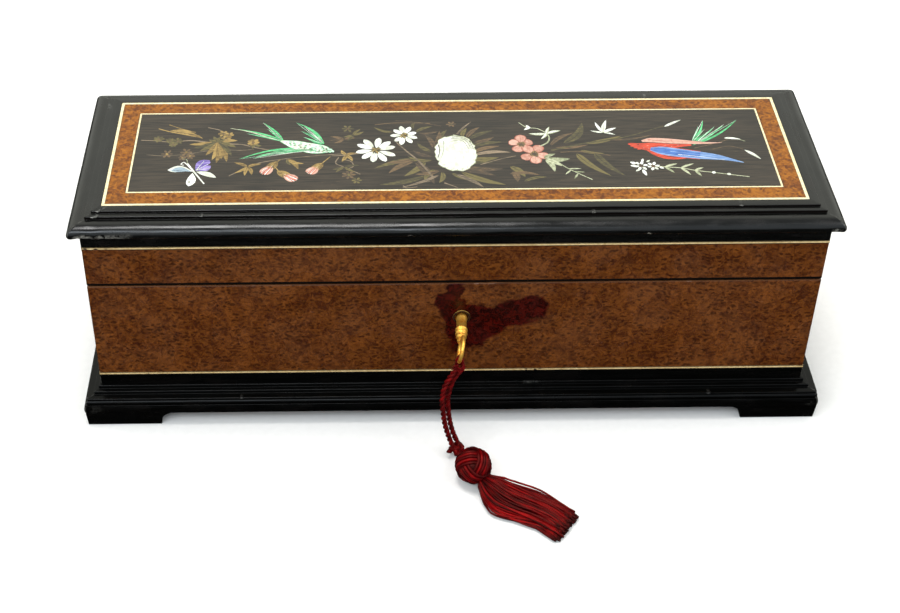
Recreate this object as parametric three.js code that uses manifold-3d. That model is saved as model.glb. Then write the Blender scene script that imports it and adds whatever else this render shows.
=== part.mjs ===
// A long hinged box with a veneered body, ebonised mouldings and an inlaid lid, on four bracket feet, with
// its key in the lock and a silk tassel on the key. Millimetres, +Z up, front towards -Y. The origin is on
// the floor, at the centre of the footprint of the plinth and the key.
import * as THREE from "three";
import { mergeVertices } from "three/addons/utils/BufferGeometryUtils.js";
import Module from "manifold-3d";

const wasm = await Module();
wasm.setup();

// Plan: an outline at offset t round the box is 2 t deep and 2 (END_SPAN + t) long.
const END_SPAN = 109.7;
const WALL_FACE = 50.5;
const WALL_THICK = 8;
const VENEER = 1;
const GLUE_LINE = 0.05;
const JOINT_GAP = 0.1;
const RUNNING_GAP = 0.3;
const SLIVER = 0.01;
const CUT_OVER = 1;

// Heights above the floor.
const FOOT_TOP = 7.25;
const PLINTH_FOOT = 7.3;
const BOTTOM_UNDER = 7.6;
const BOTTOM_TOP = 14;
const BASE_LINE = [24.3, 25.7];
const SPLIT = 75;
const SPLIT_GAP = 0.45;
const RIM_LINE = [94.8, 96.2];
const RIM_TOP = 101.6;
const CORNICE_FOOT = 103.5;
const CORNICE_SEAT = 107.2;
const FIELD_UNDER = 109.5;
const LID_TOP = 111.4;

// Offsets of the bands on the lid, from the middle outwards.
const PICTURE_EDGE = 30.9;
const INNER_LINE = [30.95, 32];
const CROSSBAND = [32.05, 39.75];
const OUTER_LINE = [39.8, 41.3];
const CORNICE_INNER = 41.35;

// Bracket feet.
const FOOT_FACE = 58;
const FOOT_TAPER = 0.6;
const FOOT_LEG = 34.2;
const FOOT_REACH = 40;
const FOOT_THICK = 10;
const BRACKET_SPRING = 2.8;
const BRACKET_SHOULDER = 6.6;
const BRACKET_LEAN = 0.45;

// Lock, key and hinges.
const KEYHOLE_X = 3.4;
const KEYHOLE_Z = 56;
const KEY_RADIUS = 2.2;
const KEY_TILT = THREE.MathUtils.degToRad(-3.5);
const KEY_TURN = THREE.MathUtils.degToRad(10);
const BOW_CENTRE = 22.2;
const BOW_LONG = 5.4;
const BOW_TALL = 5.3;
const BOW_WIRE = 0.95;
const LOCK_HALF = 21;
const LOCK_FOOT = 45;
const LOCK_SPAN = [42.8, 48.4];
const SELVEDGE_HALF = 25;
const SELVEDGE_THICK = 1.2;
const LINK_X = 8;
const HINGE_X = 95;
const HINGE_HALF = 16;
const HINGE_LEAF = 1.2;
const HINGE_DEPTH = 6;
const KNUCKLE_RADIUS = 2.1;
const PIN_RADIUS = 0.8;
const HINGE_AXIS_T = 51;

// Tassel.
const STRAND_RADIUS = 1.2;
const KNOT_CENTRE = [1.1, -79.9, 3.7];
const KNOT_HALVES = [3.6, 3.1, 3.4];
const BALL_CENTRE = [7.6, -96, 8.9];
const BALL_RADIUS = 8.5;
const SKIRT_START = [13.1, -103.1];
const SKIRT_END = [47.3, -127.2];

// The footprint's centre lies in front of the box's own middle, because the key stands out at the front.
const PLINTH_FACE = 58.5;
const KEY_REACH = WALL_FACE + BOW_CENTRE + BOW_LONG + BOW_WIRE;
const ORIGIN_SHIFT = (KEY_REACH - PLINTH_FACE) / 2;

const finish = {
  burl: new THREE.MeshStandardMaterial({ color: 0x7a3a17, roughness: 0.3 }),
  ebonised: new THREE.MeshStandardMaterial({ color: 0x121314, roughness: 0.22 }),
  line: new THREE.MeshStandardMaterial({ color: 0xe0cf8c, roughness: 0.4 }),
  ground: new THREE.MeshStandardMaterial({ color: 0x2d2420, roughness: 0.35 }),
  board: new THREE.MeshStandardMaterial({ color: 0x6b3f24, roughness: 0.45 }),
  brass: new THREE.MeshStandardMaterial({ color: 0xc8952f, roughness: 0.28, metalness: 1 }),
  steel: new THREE.MeshStandardMaterial({ color: 0x8c8a85, roughness: 0.35, metalness: 1 }),
  silk: new THREE.MeshStandardMaterial({ color: 0x6d0a12, roughness: 0.5 }),
};

const box = new THREE.Group();
box.position.y = ORIGIN_SHIFT;

function addNode(name, geometry, material) {
  const mesh = new THREE.Mesh(geometry, material);
  mesh.name = name;
  box.add(mesh);
  return mesh;
}

// Booleans: a closed geometry becomes a solid, and a solid becomes a geometry again.
function solid(geometry) {
  const bare = geometry.clone();
  bare.deleteAttribute("normal");
  bare.deleteAttribute("uv");
  const merged = mergeVertices(bare, 1e-4);
  const mesh = new wasm.Mesh({
    numProp: 3,
    vertProperties: new Float32Array(merged.attributes.position.array),
    triVerts: new Uint32Array(merged.index.array),
  });
  return new wasm.Manifold(mesh);
}

function geometryOf(made) {
  const mesh = made.getMesh();
  const geometry = new THREE.BufferGeometry();
  geometry.setAttribute("position", new THREE.BufferAttribute(mesh.vertProperties, 3));
  geometry.setIndex(new THREE.BufferAttribute(mesh.triVerts, 1));
  const flat = geometry.toNonIndexed();
  flat.computeVertexNormals();
  return flat;
}

// A rectangular block between two corners.
function block(x, y, z) {
  const geometry = new THREE.BoxGeometry(x[1] - x[0], y[1] - y[0], z[1] - z[0]);
  geometry.translate((x[0] + x[1]) / 2, (y[0] + y[1]) / 2, (z[0] + z[1]) / 2);
  return geometry;
}

// A length of a section (offset, height), mitred at both ends to run round the box at the front or the right.
function mitredLength(section, along) {
  const geometry = new THREE.ExtrudeGeometry(section, { depth: 1, bevelEnabled: false, curveSegments: 7 });
  const place = geometry.attributes.position;
  for (let i = 0; i < place.count; i++) {
    const offset = place.getX(i);
    const height = place.getY(i);
    const end = place.getZ(i) > 0.5 ? -1 : 1;
    const half = (along === "long" ? END_SPAN + offset : offset) - GLUE_LINE;
    const out = along === "long" ? offset : END_SPAN + offset;
    place.setXYZ(i, end * half, -out, height);
  }
  geometry.computeVertexNormals();
  return geometry;
}

const SIDES = [
  { side: "front", along: "long", turn: 0 },
  { side: "right", along: "short", turn: Math.PI / 2 },
  { side: "back", along: "long", turn: Math.PI },
  { side: "left", along: "short", turn: -Math.PI / 2 },
];

// Four mitred lengths of one section. A cut takes material from one of them in the box's own frame.
function fourSides(name, section, material, cuts = {}) {
  for (const { side, along, turn } of SIDES) {
    let geometry = mitredLength(section, along).rotateZ(turn);
    if (cuts[side]) {
      let made = solid(geometry);
      for (const cut of cuts[side]) made = made.subtract(cut);
      geometry = geometryOf(made);
    }
    addNode(`${name}_${side}`, geometry, material);
  }
}

function section(points) {
  return new THREE.Shape(points.map(([t, z]) => new THREE.Vector2(t, z)));
}

function rectangle(tRange, zRange) {
  return section([
    [tRange[0], zRange[0]],
    [tRange[1], zRange[0]],
    [tRange[1], zRange[1]],
    [tRange[0], zRange[1]],
  ]);
}

// A flat frame in plan, or a plain board where it has no inner edge.
function planFrame(outer, inner, zRange) {
  const outline = (offset) => {
    const long = END_SPAN + offset;
    return [
      [-long, -offset],
      [long, -offset],
      [long, offset],
      [-long, offset],
    ].map(([x, y]) => new THREE.Vector2(x, y));
  };
  const shape = new THREE.Shape(outline(outer));
  if (inner !== null) shape.holes.push(new THREE.Path(outline(inner).reverse()));
  const geometry = new THREE.ExtrudeGeometry(shape, {
    depth: zRange[1] - zRange[0],
    bevelEnabled: false,
  });
  return geometry.translate(0, 0, zRange[0]);
}

// ---------------------------------------------------------------- plinth and feet
// From the foot up: a swelling face, a bead between two quirks, then three ledges that step back to the wall.
const PLINTH_SWELL = { low: 58.2, middle: 58.7, high: 57.9, top: 11.8 };
const PLINTH_BEAD = { foot: 12.1, top: 14.1, root: 57.1, crown: 58.3, upperRoot: 56.8 };
const PLINTH_LEDGES = [
  { face: 57.2, top: 15.3 },
  { face: 53.8, top: 16.9 },
  { face: 51.6, top: 18.6 },
];
const PLINTH_FILLET = 0.5;

function plinthSection() {
  const inner = WALL_FACE + JOINT_GAP;
  const swell = PLINTH_SWELL;
  const bead = PLINTH_BEAD;
  const shape = new THREE.Shape();
  shape.moveTo(inner, PLINTH_FOOT);
  shape.lineTo(swell.low, PLINTH_FOOT);
  shape.quadraticCurveTo(swell.middle, (PLINTH_FOOT + swell.top) / 2, swell.high, swell.top);
  shape.lineTo(bead.root, bead.foot);
  shape.quadraticCurveTo(bead.crown, (bead.foot + bead.top) / 2, bead.upperRoot, bead.top);
  shape.lineTo(PLINTH_LEDGES[0].face, bead.top + PLINTH_FILLET);
  for (const [index, { face, top }] of PLINTH_LEDGES.entries()) {
    const next = PLINTH_LEDGES[index + 1];
    shape.lineTo(face, top);
    shape.lineTo(next ? next.face : inner, top);
  }
  return shape;
}

// The outline of one leg of a foot, seen from outside: level run, then a bracket that sweeps up to the plinth.
function archAway() {
  const beyond = FOOT_REACH + CUT_OVER;
  const shape = new THREE.Shape();
  shape.moveTo(FOOT_LEG, -CUT_OVER);
  shape.lineTo(FOOT_LEG + BRACKET_LEAN, BRACKET_SPRING);
  shape.quadraticCurveTo(FOOT_LEG + 2 * BRACKET_LEAN, BRACKET_SHOULDER, beyond, FOOT_TOP + BRACKET_LEAN);
  shape.lineTo(beyond, -CUT_OVER);
  return new THREE.ExtrudeGeometry(shape, { depth: 3 * FOOT_THICK, bevelEnabled: false, curveSegments: 6 });
}

// A foot for the corner at +X, +Y, in a frame whose origin is that corner and which runs inwards along -X, -Y.
function footSolid() {
  const corner = solid(block([-FOOT_REACH, 0], [-FOOT_REACH, 0], [0, FOOT_TOP]));
  const tapered = corner.warp((v) => {
    const draw = FOOT_TAPER * (1 - v[2] / FOOT_TOP);
    if (v[0] > -CUT_OVER) v[0] -= draw;
    if (v[1] > -CUT_OVER) v[1] -= draw;
  });
  const hollow = [-FOOT_REACH - CUT_OVER, -FOOT_THICK];
  const pocket = solid(block(hollow, hollow, [-CUT_OVER, FOOT_TOP + CUT_OVER]));
  const alongX = archAway().rotateX(Math.PI / 2).rotateZ(Math.PI).translate(0, -2 * FOOT_THICK, 0);
  const alongY = archAway().rotateX(Math.PI / 2).rotateZ(-Math.PI / 2).translate(FOOT_THICK, 0, 0);
  return tapered.subtract(pocket).subtract(solid(alongX)).subtract(solid(alongY));
}

function addFeet() {
  const foot = footSolid();
  for (const [ySide, y] of [["front", -1], ["back", 1]]) {
    for (const [xSide, x] of [["left", -1], ["right", 1]]) {
      const placed = foot.scale([x, y, 1]).translate([x * (END_SPAN + FOOT_FACE), y * FOOT_FACE, 0]);
      addNode(`foot_${ySide}_${xSide}`, geometryOf(placed), finish.ebonised);
    }
  }
}

// ---------------------------------------------------------------- lock, key and escutcheon
// The keyhole's outline in the wall: a round hole with a slot below it for the bit.
function keyholeShape(radius, slotHalf, slotDepth) {
  const shape = new THREE.Shape();
  const meet = Math.asin(slotHalf / radius);
  shape.absarc(0, 0, radius, -Math.PI / 2 + meet, 1.5 * Math.PI - meet, false);
  shape.lineTo(-slotHalf, -slotDepth);
  shape.lineTo(slotHalf, -slotDepth);
  return shape;
}

// A shape that is drawn in x and z and has its thickness from t0 outwards to t1, at the keyhole.
function atKeyhole(shape, t0, t1) {
  const geometry = new THREE.ExtrudeGeometry(shape, { depth: t1 - t0, bevelEnabled: false, curveSegments: 14 });
  return geometry.rotateX(Math.PI / 2).translate(KEYHOLE_X, -t0, KEYHOLE_Z);
}

const HOLE_RADIUS = 2.9;
const HOLE_SLOT = [1.2, 6.8];
const RING_RADIUS = 3.8;
const RING_SLOT = [2.1, 7.8];
const RING_SPAN = [49.2, WALL_FACE + 0.35];
const BIT_ROOM = { radius: 8.2, middle: 45.4, depth: 2.8 };
const HOOK_SLOT = { half: 2.6, wall: 1.2, deep: 8.5 };
const HOOK = { half: 1.9, thickHalf: 0.8, drop: 6.5, eye: 0.9, eyeDrop: 4 };

function lockCuts() {
  const upper = SPLIT + CUT_OVER;
  const [inner, outer] = LOCK_SPAN;
  const x0 = KEYHOLE_X;
  const half = LOCK_HALF + RUNNING_GAP;
  const wide = SELVEDGE_HALF + RUNNING_GAP;
  const shelf = SPLIT - SPLIT_GAP / 2 - SELVEDGE_THICK - RUNNING_GAP;
  const pocketY = [-outer - RUNNING_GAP, -inner + 3 * CUT_OVER];
  const recess = keyholeShape(RING_RADIUS + JOINT_GAP, RING_SLOT[0] + JOINT_GAP, RING_SLOT[1] + JOINT_GAP);
  return [
    solid(block([x0 - half, x0 + half], pocketY, [LOCK_FOOT - RUNNING_GAP, upper])),
    solid(block([x0 - wide, x0 + wide], pocketY, [shelf, upper])),
    solid(atKeyhole(keyholeShape(HOLE_RADIUS, ...HOLE_SLOT), inner - CUT_OVER, WALL_FACE + CUT_OVER)),
    solid(atKeyhole(recess, RING_SPAN[0] - 2 * JOINT_GAP, WALL_FACE + CUT_OVER)),
  ];
}

function addLock() {
  const top = SPLIT - SPLIT_GAP / 2;
  const [inner, outer] = LOCK_SPAN;
  const x0 = KEYHOLE_X;
  const caseTop = top - SELVEDGE_THICK / 2;
  let lock = solid(block([x0 - LOCK_HALF, x0 + LOCK_HALF], [-outer, -inner], [LOCK_FOOT, caseTop]));
  const selvedge = [x0 - SELVEDGE_HALF, x0 + SELVEDGE_HALF];
  lock = lock.add(solid(block(selvedge, [-outer, -inner], [top - SELVEDGE_THICK, top])));
  lock = lock.subtract(solid(atKeyhole(keyholeShape(HOLE_RADIUS, ...HOLE_SLOT), BIT_ROOM.middle, outer + 1)));
  const swing = new THREE.CylinderGeometry(BIT_ROOM.radius, BIT_ROOM.radius, BIT_ROOM.depth, 28);
  lock = lock.subtract(solid(swing.translate(KEYHOLE_X, -BIT_ROOM.middle, KEYHOLE_Z)));
  for (const x of [x0 - LINK_X, x0 + LINK_X]) {
    const { half, wall, deep } = HOOK_SLOT;
    const slot = block([x - half, x + half], [wall - outer, -inner - wall], [top - deep, top + CUT_OVER]);
    lock = lock.subtract(solid(slot));
  }
  addNode("lock_case", geometryOf(lock), finish.brass);

  const ring = keyholeShape(RING_RADIUS, ...RING_SLOT);
  ring.holes.push(new THREE.Path(keyholeShape(HOLE_RADIUS, ...HOLE_SLOT).getPoints(14).reverse()));
  addNode("escutcheon", atKeyhole(ring, ...RING_SPAN), finish.brass);
}

// The link plate under the lid's front rim, with the two hooks that drop into the lock.
function linkPlate(grow) {
  const under = SPLIT + SPLIT_GAP / 2;
  const [inner, outer] = LOCK_SPAN;
  const half = SELVEDGE_HALF + grow;
  return block(
    [KEYHOLE_X - half, KEYHOLE_X + half],
    [-outer - grow, -inner + 3 * grow],
    [under - 3 * grow, under + SELVEDGE_THICK + grow],
  );
}

function addLink() {
  let link = solid(linkPlate(0));
  const under = SPLIT + SPLIT_GAP / 2;
  const middle = -(LOCK_SPAN[0] + LOCK_SPAN[1]) / 2;
  const { half, thickHalf, drop, eye, eyeDrop } = HOOK;
  for (const x of [KEYHOLE_X - LINK_X, KEYHOLE_X + LINK_X]) {
    const thick = [middle - thickHalf, middle + thickHalf];
    const hook = solid(block([x - half, x + half], thick, [under - drop, under + SELVEDGE_THICK / 2]));
    const hole = new THREE.CylinderGeometry(eye, eye, 4 * thickHalf, 12).translate(x, middle, under - eyeDrop);
    link = link.add(hook).subtract(solid(hole));
  }
  addNode("lock_link_plate", geometryOf(link), finish.brass);
}

// The key along its own axis: +Y here is the way in, and the wall's face is at 0. The turned outline is
// radius and place, from the bow's stem over two collars to the tip of the pin.
const BIT = { half: 0.9, span: [4.1, 5.7], reach: 6.3 };

function keySolid() {
  const turned = [
    [0, -17.4],
    [1.5, -17.4],
    [1.9, -16.2],
    [1.45, -15.3],
    [2.3, -14.4],
    [2.3, -13.7],
    [1.7, -13.1],
    [2.65, -12.1],
    [2.65, -11.5],
    [2, -10.8],
    [2.75, -9.6],
    [2.75, -8.9],
    [KEY_RADIUS, -8.2],
    [KEY_RADIUS, 5.6],
    [KEY_RADIUS - 0.4, 6],
    [0, 6],
  ].map(([r, y]) => new THREE.Vector2(r, y));
  const stem = solid(new THREE.LatheGeometry(turned, 20));

  const loop = new THREE.EllipseCurve(0, 0, BOW_LONG, BOW_TALL, 0, 2 * Math.PI);
  const rounds = 32;
  const section = new THREE.Shape();
  section.absellipse(0, 0, BOW_WIRE, BOW_WIRE, 0, 2 * Math.PI);
  const route = new THREE.CatmullRomCurve3(
    loop.getPoints(rounds).slice(0, rounds).map((p) => new THREE.Vector3(0, p.x, p.y)),
    true,
  );
  const wire = new THREE.ExtrudeGeometry(section, { steps: rounds, curveSegments: 5, extrudePath: route });
  const bow = solid(wire.translate(0, -BOW_CENTRE, 0));
  const bit = solid(block([-BIT.half, BIT.half], BIT.span, [-BIT.reach, 0]));
  return stem.add(bow).add(bit);
}

function addKey() {
  const degrees = THREE.MathUtils.radToDeg;
  const key = keySolid().rotate([0, degrees(KEY_TURN), 0]).rotate([0, 0, degrees(KEY_TILT)]);
  const placed = key.translate([KEYHOLE_X, -WALL_FACE, KEYHOLE_Z]);
  addNode("key", geometryOf(placed.asOriginal().simplify(SLIVER)), finish.brass);
}

// ---------------------------------------------------------------- hinges
const LEAF_Y = [WALL_FACE - HINGE_DEPTH, HINGE_AXIS_T];
const KNUCKLES = [-HINGE_HALF, -5.6, 5.6, HINGE_HALF];
const KNUCKLE_GAP = 0.2;
const PIN_PLAY = 0.25;

function cylinderAlongX(radius, x0, x1, sides) {
  const geometry = new THREE.CylinderGeometry(radius, radius, x1 - x0, sides);
  return geometry.rotateZ(Math.PI / 2).translate((x0 + x1) / 2, HINGE_AXIS_T, SPLIT);
}

// The room that a hinge needs in the wall below the split, or in the rim above it.
function hingeCuts() {
  return [-HINGE_X, HINGE_X].flatMap((x) => {
    const half = HINGE_HALF + RUNNING_GAP;
    const deep = HINGE_LEAF + SPLIT_GAP / 2 + RUNNING_GAP;
    const depth = [LEAF_Y[0] - RUNNING_GAP, HINGE_AXIS_T + KNUCKLE_RADIUS];
    const leaf = block([x - half, x + half], depth, [SPLIT - deep, SPLIT + deep]);
    const barrel = cylinderAlongX(KNUCKLE_RADIUS + RUNNING_GAP, x - half, x + half, 20);
    return [solid(leaf), solid(barrel)];
  });
}

function addHinges() {
  for (const [side, x] of [["left", -HINGE_X], ["right", HINGE_X]]) {
    const half = HINGE_HALF;
    const bore = solid(cylinderAlongX(PIN_RADIUS + PIN_PLAY, x - 2 * half, x + 2 * half, 16));
    const [k0, k1, k2, k3] = KNUCKLES;
    const low = SPLIT - SPLIT_GAP / 2;
    const high = SPLIT + SPLIT_GAP / 2;

    let fixed = solid(block([x - half, x + half], LEAF_Y, [low - HINGE_LEAF, low]));
    const roomRadius = KNUCKLE_RADIUS + RUNNING_GAP;
    fixed = fixed.subtract(solid(cylinderAlongX(roomRadius, x + k1 - KNUCKLE_GAP, x + k2 + KNUCKLE_GAP, 20)));
    for (const [a, b] of [[k0, k1], [k2, k3]]) {
      fixed = fixed.add(solid(cylinderAlongX(KNUCKLE_RADIUS, x + a, x + b, 20)));
    }
    addNode(`hinge_${side}_box_leaf`, geometryOf(fixed.subtract(bore)), finish.brass);

    let moving = solid(block([x - half, x + half], LEAF_Y, [high, high + HINGE_LEAF]));
    for (const [a, b] of [[k0 - CUT_OVER, k1 + KNUCKLE_GAP], [k2 - KNUCKLE_GAP, k3 + CUT_OVER]]) {
      moving = moving.subtract(solid(cylinderAlongX(roomRadius, x + a, x + b, 20)));
    }
    moving = moving.add(solid(cylinderAlongX(KNUCKLE_RADIUS, x + k1 + KNUCKLE_GAP, x + k2 - KNUCKLE_GAP, 20)));
    addNode(`hinge_${side}_lid_leaf`, geometryOf(moving.subtract(bore)), finish.brass);

    addNode(`hinge_${side}_pin`, cylinderAlongX(PIN_RADIUS, x + k0, x + k3, 16), finish.steel);
  }
}

// ---------------------------------------------------------------- tassel
// Each strand hangs from the key's bow to the knot, which lies on the floor.
const STRAND_LEFT = [
  [0.1, -77, 50],
  [-0.5, -77.5, 48.4],
  [-1.4, -77.9, 46.8],
  [-2.6, -78.3, 45.1],
  [-3.7, -78.6, 43.1],
  [-4.7, -78.9, 40.7],
  [-5.4, -79.2, 38],
  [-5.8, -79.4, 35],
  [-5.9, -79.6, 31.8],
  [-5.7, -79.8, 28.5],
  [-5.3, -80, 25.1],
  [-4.9, -80.1, 21.7],
  [-4.3, -80.2, 18.2],
  [-3.5, -80.3, 14.8],
  [-2.6, -80.3, 11.6],
  [-1.7, -80.3, 8.6],
];
const STRAND_RIGHT = [
  [2.8, -76.9, 49.9],
  [2.6, -76.8, 48.1],
  [1.7, -76.7, 46.4],
  [0.7, -76.6, 44.6],
  [-0.2, -76.6, 42.4],
  [-0.9, -76.5, 39.9],
  [-1.5, -76.5, 37.1],
  [-2.1, -76.5, 34.1],
  [-2.7, -76.5, 31],
  [-3.1, -76.6, 27.8],
  [-3.2, -76.7, 24.5],
  [-2.9, -76.9, 21.2],
  [-2.3, -77.2, 17.9],
  [-1.5, -77.5, 14.7],
  [-0.5, -77.9, 11.6],
  [0.6, -78.3, 8.6],
];

function strand(points) {
  const route = new THREE.CatmullRomCurve3(points.map((p) => new THREE.Vector3(...p)));
  const section = new THREE.Shape();
  section.absellipse(0, 0, STRAND_RADIUS, STRAND_RADIUS, 0, 2 * Math.PI);
  return new THREE.ExtrudeGeometry(section, { steps: 20, curveSegments: 4, extrudePath: route });
}

// A closed body through level oval sections, from one end's middle to the other's.
function flattenedFan(stations, around) {
  const points = [];
  const faces = [];
  const along = new THREE.Vector2(SKIRT_END[0] - SKIRT_START[0], SKIRT_END[1] - SKIRT_START[1]);
  const across = new THREE.Vector2(-along.y, along.x).normalize();
  for (const { share, half, height } of stations) {
    const x = SKIRT_START[0] + share * along.x;
    const y = SKIRT_START[1] + share * along.y;
    for (let k = 0; k < around; k++) {
      const angle = (2 * Math.PI * k) / around;
      const side = half * Math.cos(angle);
      const lift = (height / 2) * (1 + Math.sin(angle)) + RUNNING_GAP;
      points.push(x + side * across.x, y + side * across.y, lift);
    }
  }
  const last = (stations.length - 1) * around;
  for (let k = 0; k < around; k++) {
    const next = (k + 1) % around;
    for (let ring = 0; ring < last; ring += around) {
      const beyond = ring + around;
      faces.push(ring + k, ring + next, beyond + k, ring + next, beyond + next, beyond + k);
    }
    if (k > 0 && next > 0) faces.push(0, next, k, last, last + k, last + next);
  }
  const geometry = new THREE.BufferGeometry();
  geometry.setAttribute("position", new THREE.Float32BufferAttribute(points, 3));
  geometry.setIndex(faces);
  const flat = geometry.toNonIndexed();
  flat.computeVertexNormals();
  return flat;
}

function addTassel() {
  addNode("cord_left", strand(STRAND_LEFT), finish.silk);
  addNode("cord_right", strand(STRAND_RIGHT), finish.silk);
  const knot = new THREE.IcosahedronGeometry(1, 2).scale(...KNOT_HALVES);
  addNode("cord_knot", knot.translate(...KNOT_CENTRE), finish.silk);
  const ball = new THREE.SphereGeometry(BALL_RADIUS, 20, 14);
  addNode("tassel_ball", ball.translate(...BALL_CENTRE), finish.silk);
  const stations = [
    { share: 0, half: 4.5, height: 7.2 },
    { share: 0.06, half: 7, height: 7.6 },
    { share: 0.18, half: 9, height: 7.4 },
    { share: 0.35, half: 9, height: 6.6 },
    { share: 0.65, half: 8.7, height: 5.2 },
    { share: 1, half: 8.6, height: 3.6 },
  ];
  addNode("tassel_skirt", flattenedFan(stations, 18), finish.silk);
}

// ---------------------------------------------------------------- box body
const wallInner = WALL_FACE - WALL_THICK;
const veneerBack = WALL_FACE - VENEER;
const lowEdge = SPLIT - SPLIT_GAP / 2;
const highEdge = SPLIT + SPLIT_GAP / 2;

fourSides("plinth", plinthSection(), finish.ebonised);
addFeet();
addNode("bottom_board", planFrame(WALL_FACE - JOINT_GAP, null, [BOTTOM_UNDER, BOTTOM_TOP]), finish.board);

const wallSection = section([
  [wallInner, BOTTOM_TOP + JOINT_GAP],
  [veneerBack - GLUE_LINE, BOTTOM_TOP + JOINT_GAP],
  [veneerBack - GLUE_LINE, BASE_LINE[1] + GLUE_LINE],
  [WALL_FACE, BASE_LINE[1] + GLUE_LINE],
  [WALL_FACE, lowEdge],
  [wallInner, lowEdge],
]);
fourSides("wall", wallSection, finish.burl, { front: lockCuts(), back: hingeCuts() });

const baseBand = [BOTTOM_TOP + JOINT_GAP, BASE_LINE[0] - GLUE_LINE];
fourSides("base_band", rectangle([veneerBack, WALL_FACE], baseBand), finish.ebonised);
addNode("stringing_base", planFrame(WALL_FACE, veneerBack, BASE_LINE), finish.line);
addLock();
addKey();
addTassel();

// ---------------------------------------------------------------- lid
const rimSection = section([
  [wallInner, highEdge],
  [WALL_FACE, highEdge],
  [WALL_FACE, RIM_LINE[0] - GLUE_LINE],
  [veneerBack - GLUE_LINE, RIM_LINE[0] - GLUE_LINE],
  [veneerBack - GLUE_LINE, RIM_TOP],
  [wallInner, RIM_TOP],
]);
fourSides("lid_rim", rimSection, finish.burl, { front: [solid(linkPlate(RUNNING_GAP))], back: hingeCuts() });
addNode("stringing_rim", planFrame(WALL_FACE, veneerBack, RIM_LINE), finish.line);

const friezeSpan = [RIM_LINE[1] + GLUE_LINE, CORNICE_FOOT - JOINT_GAP];
fourSides("frieze", rectangle([veneerBack, WALL_FACE], friezeSpan), finish.ebonised);

// Stepped flat frame, two small steps, then an ovolo with a rounded lower edge.
const OVOLO_TOP = 50.25;
const OVOLO_TIP = 55.25;
const OVOLO_SPRING = 105;
const OVOLO_RISE = 3.9;
const OVOLO_TUCK = 1.1;
const STEPS = [
  { face: 47.9, top: 110.3 },
  { face: 45.25, top: LID_TOP },
];

function corniceSection() {
  const shape = new THREE.Shape();
  shape.moveTo(CORNICE_INNER, CORNICE_SEAT);
  shape.lineTo(veneerBack, CORNICE_SEAT);
  shape.lineTo(veneerBack, CORNICE_FOOT);
  shape.lineTo(OVOLO_TIP - OVOLO_TUCK, CORNICE_FOOT);
  shape.quadraticCurveTo(OVOLO_TIP, CORNICE_FOOT, OVOLO_TIP, OVOLO_SPRING);
  shape.absellipse(OVOLO_TOP, OVOLO_SPRING, OVOLO_TIP - OVOLO_TOP, OVOLO_RISE, 0, Math.PI / 2, false, 0);
  let tread = OVOLO_SPRING + OVOLO_RISE;
  for (const { face, top } of STEPS) {
    shape.lineTo(face, tread);
    shape.lineTo(face, top);
    tread = top;
  }
  shape.lineTo(CORNICE_INNER, LID_TOP);
  return shape;
}
fourSides("cornice", corniceSection(), finish.ebonised);

// The lid's board is rebated all round for the cornice, and its raised field carries the veneers.
const boardSpan = [RIM_TOP + JOINT_GAP, CORNICE_SEAT - JOINT_GAP];
const boardEdge = solid(planFrame(veneerBack - JOINT_GAP, null, boardSpan));
const boardField = solid(planFrame(CORNICE_INNER - JOINT_GAP, null, [RIM_TOP + 2, FIELD_UNDER - JOINT_GAP]));
addNode("lid_board", geometryOf(boardEdge.add(boardField)), finish.board);

const field = [FIELD_UNDER, LID_TOP];
addNode("stringing_outer", planFrame(OUTER_LINE[1], OUTER_LINE[0], field), finish.line);
fourSides("crossband", rectangle(CROSSBAND, field), finish.burl);
addNode("stringing_inner", planFrame(INNER_LINE[1], INNER_LINE[0], field), finish.line);
addNode("picture_panel", planFrame(PICTURE_EDGE, null, field), finish.ground);
addLink();
addHinges();

export default box;
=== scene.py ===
"""A long inlaid box on bracket feet, with its key in the lock and a silk tassel on the key.

Shapes are worked out in millimetres, in a frame that has the box's own middle at x = y = 0 and the floor
at z = 0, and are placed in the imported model's frame in metres by place().
"""
import math
import random

import bmesh
import bpy
import numpy as np
from mathutils import Matrix, Vector, geometry, noise


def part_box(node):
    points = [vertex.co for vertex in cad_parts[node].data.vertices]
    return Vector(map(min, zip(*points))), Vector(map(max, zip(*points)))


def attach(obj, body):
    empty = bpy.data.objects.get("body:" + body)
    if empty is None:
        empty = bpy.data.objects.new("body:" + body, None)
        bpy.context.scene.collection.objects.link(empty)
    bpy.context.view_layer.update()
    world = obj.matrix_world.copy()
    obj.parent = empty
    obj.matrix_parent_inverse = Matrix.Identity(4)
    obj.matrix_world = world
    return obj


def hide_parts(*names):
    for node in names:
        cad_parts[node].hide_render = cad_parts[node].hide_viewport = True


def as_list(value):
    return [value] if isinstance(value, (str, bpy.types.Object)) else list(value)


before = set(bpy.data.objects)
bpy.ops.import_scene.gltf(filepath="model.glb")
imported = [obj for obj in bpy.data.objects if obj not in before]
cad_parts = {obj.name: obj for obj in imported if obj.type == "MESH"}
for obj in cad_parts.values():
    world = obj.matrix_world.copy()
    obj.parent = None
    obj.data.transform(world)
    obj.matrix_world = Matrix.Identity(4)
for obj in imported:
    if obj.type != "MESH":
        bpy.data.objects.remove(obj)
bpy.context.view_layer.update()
MM = 0.001


def low(node):
    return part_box(node)[0] / MM


def high(node):
    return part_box(node)[1] / MM


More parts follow.
